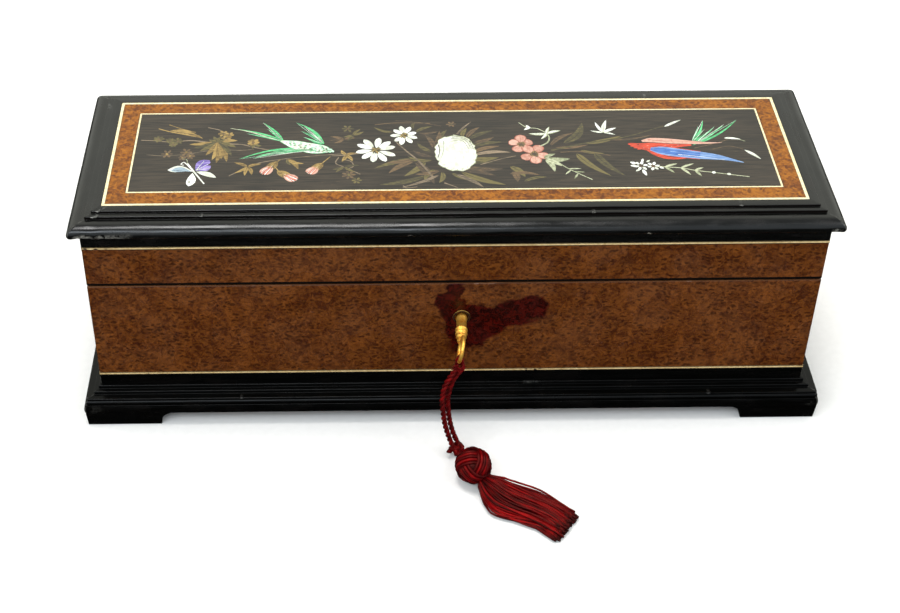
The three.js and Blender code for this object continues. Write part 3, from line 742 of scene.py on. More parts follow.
def dented(point, along, dents, core, ease):
    """A section point pushed towards the section's core by the dents near it, and how worn it is."""
    t, z = point
    worn = 0
    for dent_along, dent_t, dent_z, reach, size, deep, grey in dents:
        squared = ((along - dent_along) / reach) ** 2
        squared += ((t - dent_t) / size) ** 2 + ((z - dent_z) / size) ** 2
        if squared >= 1:
            continue
        rough = 0.75 + 0.5 * noise.noise(Vector((along * 1.7, t * 1.7, z * 1.7 + reach)))
        share = (1 - squared) ** 1.2 * rough
        step = (Vector(core) - Vector((t, z))).normalized() * deep * share
        t, z = t + step.x, z + step.y
        worn = max(worn, min(1, share * grey * 1.6))
    wobble = ease * noise.noise(Vector((along * 0.16, t * 0.5, z * 0.5)))
    inward = (Vector(core) - Vector((t, z))).normalized() * wobble
    return t + inward.x, z + inward.y, worn


def mitred_length(name, outline, side, body, slot, paint, replaces, corner, dents=(), ease=0, core=None):
    """One length of a section that runs along a side, mitred at both ends with a softened corner.

    paint gives the material for the middle and the run of each stretch of the outline.
    """
    along, turn = SIDES[side]
    count = len(outline)
    inner, outer = min(p[0] for p in outline), max(p[0] for p in outline)
    core = core or (sum(p[0] for p in outline) / count, sum(p[1] for p in outline) / count)
    flat_half = END_SPAN if along == "long" else 0
    reach = flat_half + inner

    def softened(t):
        """How far out a point of the section is, as a share, and how round the corner is there."""
        share = (t - inner) / (outer - inner)
        return share, corner * (0.15 + 0.85 * share)

    def corner_ring(end, angle):
        ring = []
        for t, z in outline:
            t, z, wear = dented((t, z), end * (flat_half + t), dents, core, ease)
            share, radius = softened(t)
            run = flat_half + t - radius + radius * math.sin(angle)
            out = t - radius + radius * math.cos(angle)
            grey = 0.5 * share * max(0, math.sin(angle) * 1.6 - 0.3)
            ring.append((out, end * (run - GLUE_LINE), z, max(wear, grey)))
        return ring

    def straight_ring(stop):
        ring = []
        for t, z in outline:
            limit = flat_half + t - softened(t)[1] - GLUE_LINE
            run = stop * (limit / reach) if abs(stop) > reach - MITRE_REACH else stop
            run = max(-limit, min(limit, run))
            t, z, wear = dented((t, z), run, dents, core, ease)
            ring.append((t, run, z, wear))
        return ring

    angles = [math.pi / 4 * k / MITRE_STEPS for k in range(MITRE_STEPS + 1)]
    rings = [corner_ring(-1, angle) for angle in reversed(angles)]
    rings += [straight_ring(stop) for stop in stations(reach, dents)[1:-1]]
    rings += [corner_ring(1, angle) for angle in angles]
    points, worn = [], []
    cos, sin = math.cos(turn), math.sin(turn)
    for ring in rings:
        for out, x, z, wear in ring:
            y = -(out + END_SPAN - flat_half)
            points.append((x * cos - y * sin, x * sin + y * cos, z))
            worn.append(wear)
    stretches = zip(outline, outline[1:] + outline[:1])
    finishes = [paint((start + end) / 2, end - start) for start, end in stretches] * (len(rings) - 1)
    finishes += [paint(Vector(core), Vector((0, 1)))] * 2
    faces = skin(len(rings), count, flipped=True)
    return sharpen(piece(name, points, faces, body, finishes, slot, replaces, attributes={"wear": worn}))


def four_sides(name, outline, body, slot, paint, dents=None, **more):
    """Four mitred lengths that stand for the CAD nodes of that name. paint(side, along) gives a painter."""
    made = {}
    for side, (along, _) in SIDES.items():
        made[side] = mitred_length(
            f"{name}_{side}_piece", outline, side, body, slot, paint(side, along), [f"{name}_{side}"],
            dents=(dents or {}).get(side, []), **more,
        )
    return made


def strip_outline(inner, outer, foot, top, ease=0.12):
    """The section of a flat strip, with its two outer edges eased."""
    return rounded([(inner, foot, 0), (outer, foot, ease), (outer, top, ease), (inner, top, 0)])


# ---------------------------------------------------------------- painters
def all_over(materials):
    """One wood, whose grain follows the side it lies on."""
    return lambda side, along: lambda middle, run: materials[along]


def shaded_risers(side, along):
    """Polished, but with painted shade on the small upright faces of the cornice's steps: they take the near
    black joint finish.
    """
    def paint(middle, run):
        riser = middle.x < STEP_OUTER + 0.3 and middle.y > STEP_FOOT and abs(run.y) > 1.5 * abs(run.x)
        return DARK_JOINT_AND_SHADE if riser else EBONY[along]
    return paint


def veneered(material, painted_shade=(0, 0)):
    """Burr on a wall's face, plain wood on its edges and inside, and painted shade between two heights."""
    def paint(middle, run):
        outside = middle.x > LINE_BACK + 0.3
        if outside and painted_shade[0] < middle.y < painted_shade[1]:
            return DARK_JOINT_AND_SHADE
        return material if outside and abs(run.y) > abs(run.x) * 0.4 else CARCASS
    return paint


def seamed(foot, top):
    """Boxwood between dark seams, for a line in the front."""
    def paint(middle, run):
        in_seam = middle.x > LINE_BACK + 0.7 and min(middle.y - foot, top - middle.y) < FACE_SEAM
        return DARK_JOINT_AND_SHADE if in_seam else STRING
    return paint


def top_seamed(inner, outer):
    """Boxwood between dark seams, for a line in the top."""
    def paint(middle, run):
        in_seam = middle.y > LID_TOP - 0.1 and min(middle.x - inner, outer - middle.x) < TOP_SEAM
        return DARK_JOINT_AND_SHADE if in_seam else STRING_TOP
    return paint


# ---------------------------------------------------------------- plinth, bands, cornice and walls
PLINTH_OUTLINE = rounded(
    [
        (PLINTH_INNER, PLINTH_FOOT, 0),
        (58.2, PLINTH_FOOT, 0.5),
        *bend((58.2, 7.9), (58.75, 9.6), (57.95, 11.6), 5),
        (57.9, 11.85, 0.1),
        (56.9, 12, 0.15),
        *bend((57.1, 12.15), (58.35, 13.15), (56.9, 14.15), 5),
        (56.4, 14.3, 0.15),
        (PLINTH_TREAD[0], 14.5, 0.2),
        (*PLINTH_TREAD, 0.4),
        (53.8, PLINTH_TREAD[1], 0.15),
        (53.8, 16.9, 0.4),
        (PLINTH_STEP, 16.9, 0.15),
        (PLINTH_STEP, PLINTH_TOP, 0.4),
        (PLINTH_INNER, PLINTH_TOP, 0),
    ]
)
CORNICE_OUTLINE = rounded(
    [
        (CORNICE_INNER, CORNICE_SEAT, 0),
        (CORNICE_BACK, CORNICE_SEAT, 0),
        (CORNICE_BACK, CORNICE_FOOT, 0),
        (54.1, CORNICE_FOOT, 0.2),
        *bend((54.15, CORNICE_FOOT), (55.25, CORNICE_FOOT + 0.05), (55.25, OVOLO_SPRING), 4),
        *arc((50.25, OVOLO_SPRING), (5, 3.9), 8, 90, 10),
        (STEP_OUTER, 108.9, 0.1),
        (STEP_OUTER, STEP_TOP, 0.28),
        (TOP_STEP, STEP_TOP, 0.1),
        (TOP_STEP, LID_TOP, 0.28),
        (CORNICE_INNER, LID_TOP, 0),
    ]
)
WALL_OUTLINE = rounded(
    [
        (WALL_INNER, WALL_FOOT, 0),
        (LINE_BACK - GLUE_LINE, WALL_FOOT, 0),
        (LINE_BACK - GLUE_LINE, BASE_LINE[1] + GLUE_LINE, 0),
        (WALL_FACE, BASE_LINE[1] + GLUE_LINE, 0.1),
        (WALL_FACE, WALL_TOP, 0.5),
        (WALL_INNER, WALL_TOP, 0.6),
    ]
)
RIM_OUTLINE = rounded(
    [
        (WALL_INNER, RIM_FOOT, 0.6),
        (WALL_FACE, RIM_FOOT, 0.8),
        (WALL_FACE, RIM_FOOT + 1.5, 0),
        (WALL_FACE, RIM_LINE[0] - GLUE_LINE, 0.1),
        (LINE_BACK - GLUE_LINE, RIM_LINE[0] - GLUE_LINE, 0),
        (LINE_BACK - GLUE_LINE, RIM_TOP, 0),
        (WALL_INNER, RIM_TOP, 0),
    ]
)

# Chips and knocks on each side: place along it, offset and height in the section, half length, half breadth,
# depth, and how grey they are.
CORNICE_DENTS = {
    "front": [
        (-158, 55, 104.2, 5, 2.2, 0.75, 0.8),
        (-150, 55, 104.4, 3.2, 1.8, 0.4, 0.6),
        (-153.5, 47.9, 110.2, 1.6, 0.8, 0.5, 1),
        (-151.8, 45.3, 111.3, 1.1, 0.7, 0.4, 1),
        (-139, 55.2, 105.4, 2.6, 1.6, 0.22, 0.25),
        (-128, 54.4, 103.7, 6.5, 1.2, 0.35, 0.3),
        (-108, 47.9, 110.3, 1, 0.6, 0.3, 0.6),
        (-20, 54.9, 103.8, 1.4, 1, 0.4, 0.5),
        (58, 47.8, 110.2, 0.9, 0.6, 0.35, 0.8),
        (81, 54.9, 104, 1.1, 0.9, 0.5, 1),
        (121, 45.3, 111.3, 1.2, 0.6, 0.3, 0.5),
        (162, 54.9, 104.4, 2.6, 1.8, 0.6, 0.9),
    ],
    "left": [(30, 55, 104.5, 2, 1.4, 0.4, 0.5), (-41, 47.9, 110.3, 1.2, 0.7, 0.3, 0.5)],
    "right": [(-18, 54.8, 103.9, 1.8, 1.2, 0.4, 0.5)],
    "back": [(44, 55, 104.2, 2.2, 1.4, 0.5, 0.7), (-92, 45.3, 111.3, 1, 0.6, 0.3, 0.6)],
}
PLINTH_DENTS = {
    "front": [
        (-163, 58.1, 9.6, 3.2, 2.6, 0.5, 0.05),
        (-96, *PLINTH_TREAD, 1, 0.7, 0.35, 0.2),
        (36, PLINTH_STEP, 18.5, 5, 0.8, 0.35, 0.12),
        (117, *PLINTH_TREAD, 1, 0.6, 0.3, 0.25),
        (164.5, 58.1, 8.8, 2.4, 2, 0.45, 0.05),
    ],
    "right": [(20, *PLINTH_TREAD, 1.5, 0.8, 0.4, 0.4)],
    "back": [(-60, *PLINTH_TREAD, 1.5, 0.8, 0.4, 0.4)],
}


def front_marks(*marks):
    """Marks on the face of the front wall or rim, or in a line there: each is given without its offset."""
    return {"front": [(along, WALL_FACE, *rest) for along, *rest in marks]}


WALL_DENTS = front_marks(
    (14, 74.7, 4.6, 0.9, 0.5, 0), (9, 74.7, 1.6, 0.7, 0.4, 0), (-88, 74.7, 1.2, 0.6, 0.3, 0),
    (102, 74.7, 1.6, 0.6, 0.3, 0),
)
RIM_DENTS = front_marks(
    (16, 75.3, 3.2, 0.8, 0.35, 0), (76, 75.3, 1.1, 0.6, 0.3, 0), (-120, 75.3, 1.4, 0.6, 0.3, 0),
)
BASE_LINE_CHIPS = front_marks(
    (33.6, 25.2, 0.9, 0.8, 0.45, 0.9), (35.6, 25.6, 1.2, 0.7, 0.35, 0.5), (37.8, 24.7, 0.9, 0.6, 0.45, 1),
    (40.2, 25.4, 1.4, 0.8, 0.4, 0.7), (-138, 25, 0.8, 0.6, 0.3, 0.6), (88, 25.3, 0.7, 0.6, 0.3, 0.5),
)
RIM_LINE_CHIPS = front_marks(
    (-158.6, 95.5, 1.6, 0.9, 0.4, 0.9), (-154, 95.2, 1.3, 0.7, 0.35, 0.7), (-149.5, 95.6, 1.2, 0.7, 0.3, 0.5),
)

four_sides(
    "plinth", PLINTH_OUTLINE, "box", "ebonised_wood", all_over(EBONY_SHADED), PLINTH_DENTS,
    corner=1.1, ease=0.06, core=(53.5, 11.5),
)
four_sides(
    "cornice", CORNICE_OUTLINE, "lid", "ebonised_wood", shaded_risers, CORNICE_DENTS,
    corner=1.3, ease=0.06, core=(50, 106.5),
)
for strip_name, strip_body, strip_foot, strip_top, strip_woods in (
    ("base_band", "box", BAND_FOOT, BAND_TOP, EBONY_SHADED),
    ("frieze", "lid", FRIEZE_FOOT, FRIEZE_TOP, EBONY),
):
    strip = strip_outline(LINE_BACK, WALL_FACE, strip_foot, strip_top)
    four_sides(strip_name, strip, strip_body, "ebonised_wood", all_over(strip_woods), corner=0.4)
WALLS = four_sides(
    "wall", WALL_OUTLINE, "box", "burr_veneer",
    lambda side, along: veneered(BURR_FRONT if side == "front" else BURR), WALL_DENTS, corner=0.9, ease=0.03,
)
RIMS = four_sides(
    "lid_rim", RIM_OUTLINE, "lid", "burr_veneer", lambda side, along: veneered(BURR, JOINT_SHADE), RIM_DENTS,
    corner=0.9, ease=0.03,
)


# ---------------------------------------------------------------- stringings and crossband
def pale_line(node, body, corners, painter, chips=None):
    """A line that is let in round the box, as the four mitred strips of one CAD ring."""
    outline = [Vector(corner) for corner in corners]
    for side in SIDES:
        mitred_length(
            f"{node}_strip_{side}", outline, side, body, "boxwood_stringing", painter, [node], corner=0.15,
            dents=(chips or {}).get(side, []),
        )


def face_line(foot, top):
    """The section of a line in the front, with narrow seams of glue above and below it."""
    seams = [(WALL_FACE, foot + FACE_SEAM), (WALL_FACE, top - FACE_SEAM)]
    return [(LINE_BACK, foot), (WALL_FACE, foot), *seams, (WALL_FACE, top), (LINE_BACK, top)]


def top_line(inner, outer):
    """The section of a line in the top, with narrow seams of glue on both sides of it."""
    seams = [(outer - TOP_SEAM, LID_TOP), (inner + TOP_SEAM, LID_TOP)]
    return [(inner, FIELD_UNDER), (outer, FIELD_UNDER), (outer, LID_TOP), *seams, (inner, LID_TOP)]


pale_line("stringing_base", "box", face_line(*BASE_LINE), seamed(*BASE_LINE), BASE_LINE_CHIPS)
pale_line("stringing_rim", "lid", face_line(*RIM_LINE), seamed(*RIM_LINE), RIM_LINE_CHIPS)
for line_node, line_span in (
    ("stringing_outer", (CROSSBAND[1] + GLUE_LINE, OUTER_LINE)),
    ("stringing_inner", (PICTURE_EDGE + GLUE_LINE, INNER_LINE)),
):
    pale_line(line_node, "lid", top_line(*line_span), top_seamed(*line_span))
four_sides(
    "crossband", strip_outline(*CROSSBAND, FIELD_UNDER, LID_TOP, 0), "lid", "burr_crossband",
    all_over({"long": BURR_BAND, "short": BURR_BAND}), corner=0.1,
)


# ---------------------------------------------------------------- inlaid picture
# Figures lie flush in the dark ground. Their places are millimetres from the panel's middle, x to the right
# and y to the back, and each one is built from leaves, petals and lines.
figures = []
pick = random.Random(3)


def show(outline, paint):
    """Adds one closed shape of the picture; a later one lies over the ones before it."""
    figures.append(([Vector((p[0], p[1])) for p in outline], paint))


def run_through(points, count):
    return [Vector((p.x, p.y)) for p in curve_points([(x, y, 0) for x, y in points], count)]


def band(line, halves, paint):
    """A shape along a line, with a half width at each of its points."""
    left, right = [], []
    for i, (point, half) in enumerate(zip(line, halves)):
        ahead = (line[min(i + 1, len(line) - 1)] - line[max(i - 1, 0)]).normalized()
        side = Vector((-ahead.y, ahead.x)) * half
        left.append(point + side)
        right.append(point - side)
    show(left + right[::-1], paint)


def ribbon(points, start, end, paint, count=None):
    """A line of the picture, from one width to another, through the points in a smooth curve."""
    line = run_through(points, count or 4 * (len(points) - 1))
    last = len(line) - 1
    band(line, [(start + (end - start) * i / last) / 2 for i in range(last + 1)], paint)


def half_width(halves, share):
    """The half width at a share of a length, between widths that are given in equal steps."""
    at = share * (len(halves) - 1)
    k = min(int(at), len(halves) - 2)
    return halves[k] + (halves[k + 1] - halves[k]) * (at - k)


def lofted(points, halves, paint):
    """A body along a curved line, with half widths in equal steps along it."""
    line = run_through(points, LOFT_STEPS)
    band(line, [half_width(halves, i / LOFT_STEPS) for i in range(LOFT_STEPS + 1)], paint)


def leaf(base, tip, width, paint, bend_by=0, fullest=0.42, rib=None, blunt=1):
    """A leaf or petal. bend_by moves its middle sideways, as a share of its length."""
    base, tip = Vector(base), Vector(tip)
    along = tip - base
    side = Vector((-along.y, along.x))
    left, right, middle = [], [], []
    for i in range(LEAF_STEPS + 1):
        share = i / LEAF_STEPS
        swell = math.sin(math.pi * share ** (math.log(0.5) / math.log(fullest))) ** (0.75 / blunt)
        centre = base + along * share + side * bend_by * math.sin(math.pi * share)
        offset = side.normalized() * width / 2 * max(swell, 0.04)
        left.append(centre + offset)
        right.append(centre - offset)
        middle.append(centre)
    show(left + right[::-1], paint)
    if rib:
        ribbon([(p.x, p.y) for p in middle[:-2:2]], width * 0.09 + 0.08, 0.08, rib)


def towards(length, degrees):
    return Vector((math.cos(math.radians(degrees)), math.sin(math.radians(degrees)))) * length


def spray(base, length, width, directions, paint, rib=None):
    """Leaves that fan out from one point; directions are in degrees."""
    for direction in directions:
        reach = length * pick.uniform(0.82, 1.12)
        sway = 0.08 * pick.choice((-1, 1)) * pick.uniform(0.4, 1.2)
        tip = Vector(base) + towards(reach, direction)
        leaf(base, tip, width * pick.uniform(0.85, 1.15), paint, sway, rib=rib)


def blossom(
    centre, radius, petals, width, paint, heart=None, start=0, squash=1, vein=None,
    heart_size=0.24, blunt=1.7, edge=None,
):
    """A round flower seen from in front: rounded petals about a small heart. squash stretches it in y."""
    centre = Vector(centre)
    for k in range(petals):
        direction = start + 360 * k / petals + pick.uniform(-4, 4)
        reach = towards(radius * pick.uniform(0.92, 1.06), direction)
        reach.y *= squash
        if edge:
            leaf(centre + reach * 0.1, centre + reach * 1.04, width * 1.22, edge, 0, 0.6, blunt=blunt)
        leaf(centre + reach * 0.16, centre + reach, width, paint, 0, 0.6, blunt=blunt)
        if vein:
            ribbon([centre + reach * 0.35, centre + reach * 0.75], 0.16, 0.08, vein)
    if heart:
        ring = []
        for k in range(HEART_POINTS):
            spot = towards(radius * heart_size * pick.uniform(0.75, 1.25), 360 * k / HEART_POINTS)
            ring.append(centre + Vector((spot.x, spot.y * squash)))
        show(ring, heart)


def feathers(root, tips, width, paint, lines):
    """Long feathers that start together and end at the given tips, each with a pale and a dark line."""
    root, tips = Vector(root), [Vector(tip) for tip in tips]
    for k, tip in enumerate(tips):
        leaf(root, tip, width * pick.uniform(0.85, 1.15), paint, 0.03 * (k - len(tips) / 2), 0.35)
    for k, tip in enumerate(tips):
        near, half_way = root.lerp(tip, 0.12), root.lerp(tip, 0.55)
        ribbon([near, half_way, tip], 0.26, 0.16, lines[k % len(lines)])
        ribbon([near, half_way + Vector((0, 0.75)), tip], 0.2, 0.1, "line")


def speckle(points, halves, count, paint, size):
    """Small marks scattered over a body along a curved line."""
    line = run_through(points, LOFT_STEPS)
    for _ in range(count):
        share = pick.uniform(0.08, 0.86)
        aside = Vector((pick.uniform(-0.6, 0.6), pick.uniform(-0.8, 0.8) * half_width(halves, share)))
        spot = line[round(share * LOFT_STEPS)] + aside
        leaf(spot, spot + towards(size * pick.uniform(0.7, 1.3), pick.uniform(-40, 20)), size * 0.55, paint)


def butterfly():
    leaf((-114, -15.8), (-125, -14.6), 5, "bone", -0.12, 0.62)
    leaf((-114.6, -16), (-123.6, -14.9), 3.8, "pearl", -0.12, 0.62)
    leaf((-114, -17.2), (-114.9, -27.2), 4, "bone", 0.04, 0.6, blunt=1.2)
    leaf((-112.8, -15.2), (-107.3, -7.2), 5.2, "violet", 0.1, 0.66, blunt=1.4)
    leaf((-112.6, -15.4), (-106.4, -11.6), 3.6, "violet", -0.1, 0.66, blunt=1.1)
    leaf((-112.4, -16.2), (-103.5, -20.8), 3.2, "bone", 0.06, 0.5)
    for tip in ((-122.5, -15), (-121, -16.2), (-119, -18.8)):
        ribbon([(-114.6, -16.2), tip], 0.22, 0.14, "line")
    for tip in ((-109.6, -7.8), (-107.6, -10.2), (-106.6, -13.4)):
        ribbon([(-112.6, -15), tip], 0.3, 0.2, "bone")
    ribbon([(-114.2, -18.6), (-114.7, -23)], 0.16, 0.1, "bone_shade")
    blossom((-114.9, -24), 0.6, 5, 0.6, "olive")
    ribbon([(-117, -9.6), (-108.3, -25.6)], 1.1, 0.5, "bone", 6)
    ribbon([(-117.2, -10.2), (-118.4, -8.6), (-119.6, -10.2), (-118.2, -11)], 0.45, 0.3, "bone")
    ribbon([(-116.8, -9.6), (-117.4, -6.4), (-119.4, -6)], 0.3, 0.2, "bone_shade")


def dry_sprigs():
    """Brown stems with small flowers and seed heads at the picture's left end."""
    ribbon([(-139, 9.4), (-132, 8.8), (-124, 7.4), (-117.6, 8.9), (-108, 7.2)], 0.45, 0.7, "twig")
    ribbon([(-135.4, -2.4), (-127, -3.4), (-118, -2.2), (-108, 0.6)], 0.4, 0.6, "twig")
    ribbon([(-132, 18.8), (-126, 16), (-113, 11.6)], 0.5, 0.9, "tan")
    ribbon([(-127.4, 22), (-121, 18.2), (-115, 15.4)], 0.4, 0.7, "tan")
    for k in range(7):
        leaf((-127 + 1.7 * k, 16.8 - 0.5 * k), (-117.4 + 1 * k, 16.9 - 1.1 * k), 1.5, "tan", 0.05, rib="line")
    for spot, size in (((-131.2, 10.2), 2.6), ((-126, 8.8), 2.2), ((-122.4, 8.4), 2.4), ((-124.4, 5.8), 2)):
        blossom(spot, size, 7, 1.2, "olive", "umber", squash=1.1)
    for spot, size in (((-126.4, -2), 2.8), ((-118, -0.8), 2.8), ((-116, -3.8), 2.2), ((-119.4, -5), 1.8)):
        blossom(spot, size, 6, 1.2, "umber", "tan", squash=1.2)
    ribbon([(-109.6, 19.4), (-104, 17), (-101.4, 13.4), (-102.4, 8)], 0.45, 0.7, "twig")
    for spot, size in (((-102.4, 14.2), 2.6), ((-99.8, 13), 2.4), ((-101, 10.4), 2.2)):
        blossom(spot, size, 6, 1.3, "tan", "umber")
    fan = ((-117, 5.6), (-115, 2.6), (-112, 0.2), (-109.2, -3.2), (-106.2, -7), (-104.2, -9.6))
    for tip in fan + ((-102.2, -6.4), (-99.6, -8.6), (-97.8, -3.8), (-96.2, 3), (-95.8, 8.4)):
        leaf((-104.4, 7.8), tip, 2.6, "tan" if pick.random() < 0.85 else "olive", 0.05, 0.5, rib="line")
    spray((-105, 7.4), 4.6, 1.8, (70, 110, 150, 30), "olive", "line")
    ribbon([(-99, 5.8), (-93, 5), (-87, 2.4), (-78, -0.6)], 0.6, 0.5, "twig")
    ribbon([(-99, 0.8), (-94, 0.4), (-88, 1.2)], 0.5, 0.4, "twig")
    blossom((-88.6, 6.8), 3, 7, 1.7, "tan", "umber")
    spray((-87.6, 5), 3.6, 1.3, (215, 250, 300, 340), "olive")


def stem_and_buds():
    stem = [(-98, -19.6), (-90, -12.8), (-84.5, -9.4), (-75, -6.8), (-62, -4.6), (-42, -2.4)]
    ribbon(stem, 0.6, 0.6, "twig")
    spray((-90.2, -12.6), 7.4, 1.7, (222, 262, 288, 150, 20), "tan", "line")
    leaf((-73, -6.6), (-68, -14.8), 2.6, "tan", 0.1, rib="line")
    leaf((-73.6, -7), (-65.6, -10.6), 1.8, "tan", -0.1, rib="line")
    leaf((-73, -7), (-71.4, -11.6), 1.4, "olive", -0.1, rib="line")
    for stalk, calyx, tip in (
        ((-76, -7.2), (-78, -9.6), (-83.6, -18.8)),
        ((-78.4, -12.4), (-76.2, -16.8), (-68.4, -23.8)),
        ((-54, -5.2), (-58, -11), (-63.6, -18.6)),
    ):
        ribbon([stalk, calyx], 0.4, 0.6, "tan")
        base, end = Vector(calyx), Vector(tip)
        along = end - base
        side = Vector((-along.y, along.x)).normalized()
        for k in (-2, -1, 0, 1, 2):
            petal_tip = end - along * 0.04 * abs(k) + side * 0.95 * k
            leaf(base + along * 0.2, petal_tip, 1.7, "bone" if k % 2 else "rose", 0.04 * k, 0.7, blunt=1.3)
        for k in (-1.5, -0.5, 0.5, 1.5):
            stripe = [base + along * 0.35 + side * 0.5 * k, end - along * 0.06 + side * 0.95 * k]
            ribbon(stripe, 0.25, 0.4, "red")
        for k in (-1.3, -0.4, 0.5, 1.3):
            leaf(base - along * 0.12, base + along * 0.5 + side * 1.5 * k, 1.2, "tan", 0.06 * k, rib="line")


GREEN_BIRD = [(-76.4, 7.9), (-70, 4.8), (-62.4, 1.6), (-57.2, 0.6), (-54.6, -0.4), (-52.4, -0.9)]
GREEN_BIRD_HALVES = [0.4, 3.1, 3.9, 3, 1.2, 0.2]


def green_bird():
    """A white bird with green wings that flies to the right."""
    feathers((-74.6, 7.4), [(-95.8, 17.8), (-92, 14.2), (-86, 12.6)], 1.3, "green", ["bone", "pale_green"])
    feathers((-75.4, 8), [(-84.9, 23), (-82.6, 17.8), (-79, 14.6)], 1.6, "green", ["bone", "pale_green"])
    ribbon([(-80, 9.6), (-90, 15.4), (-99.4, 18.6)], 0.5, 0.3, "bone_shade")
    lower = [(-94, -6.4), (-88, -6.2), (-86.4, -4), (-83, -2.6), (-79.6, -0.6), (-75, 0.4), (-72, 1.6)]
    feathers((-61, 0.8), lower, 1.5, "green", ["pale_green", "bone"])
    upper = [(-69.7, 22.8), (-66.4, 20.2), (-67.4, 15.8), (-62.6, 15), (-66.2, 10.8)]
    upper += [(-59.8, 11.6), (-63.2, 8.4)]
    feathers((-57, 5), upper, 1.5, "green", ["pale_green", "bone"])
    lofted(GREEN_BIRD, [half + 0.25 for half in GREEN_BIRD_HALVES], "green")
    lofted(GREEN_BIRD, GREEN_BIRD_HALVES, "bone")
    speckle(GREEN_BIRD, GREEN_BIRD_HALVES, 100, "pale_green", 1.3)
    speckle(GREEN_BIRD, GREEN_BIRD_HALVES, 46, "olive", 1)
    blossom((-57, 1.5), 0.45, 6, 0.4, "line", "line")
    feathers((-61, 0), [(-78.4, -3), (-74.4, -0.8), (-72, 0.6)], 1.7, "green", ["bone", "pale_green"])


def daisies():
    spray((-48, 8.8), 6, 1.5, (10, 160, 190, 215), "umber", "line")
    spray((-44, 12), 5.4, 1.6, (30, 55, 200, 240), "olive", "line")
    blossom((-46.4, 17.4), 3, 6, 1.2, "olive", "umber")
    ribbon([(-53.4, -4.6), (-46, -4), (-40, -2.2)], 0.6, 0.6, "twig")
    ribbon([(-50.2, -5.6), (-51.6, -10.4), (-47.8, -13.6), (-40.8, -19.2)], 0.5, 0.4, "twig")
    ribbon([(-48.6, -7.6), (-45, -9), (-43.8, -13), (-47, -15.4)], 0.4, 0.3, "twig")
    spray((-47.8, -13.4), 6.4, 1.6, (10, 200, 228, 318), "olive", "line")
    spray((-47, -4), 5.4, 1.8, (300, 250, 120, 20), "tan", "line")
    blossom((-45.8, -19.6), 3.4, 7, 1.3, "umber", "olive")
    blossom((-42.4, -24), 2.4, 6, 1.1, "olive", "umber")
    blossom((-33.8, -0.2), 9.2, 10, 3.1, "bone", None, 12, 1.06, "bone_shade", blunt=1.35)
    blossom((-21, 11.6), 6.3, 9, 2.5, "bone", None, 20, 1.25, "bone_shade", blunt=1.35)
    for centre, size in (((-33.8, -0.2), 3.3), ((-21, 11.6), 2.5)):
        for k in range(15):
            out = towards(size * pick.uniform(0.6, 1.1), 24 * k)
            leaf(Vector(centre), Vector(centre) + out, 0.9, "olive" if k % 3 else "tan")
        for k in range(9):
            spot = Vector(centre) + towards(size * pick.uniform(0.2, 0.9), 40 * k)
            blossom(spot, 0.3, 4, 0.3, "tan" if k % 2 else "line")
    ribbon([(-24.6, 6), (-19.8, -2), (-14.8, -9.6), (-9.2, -22)], 0.6, 1, "twig")


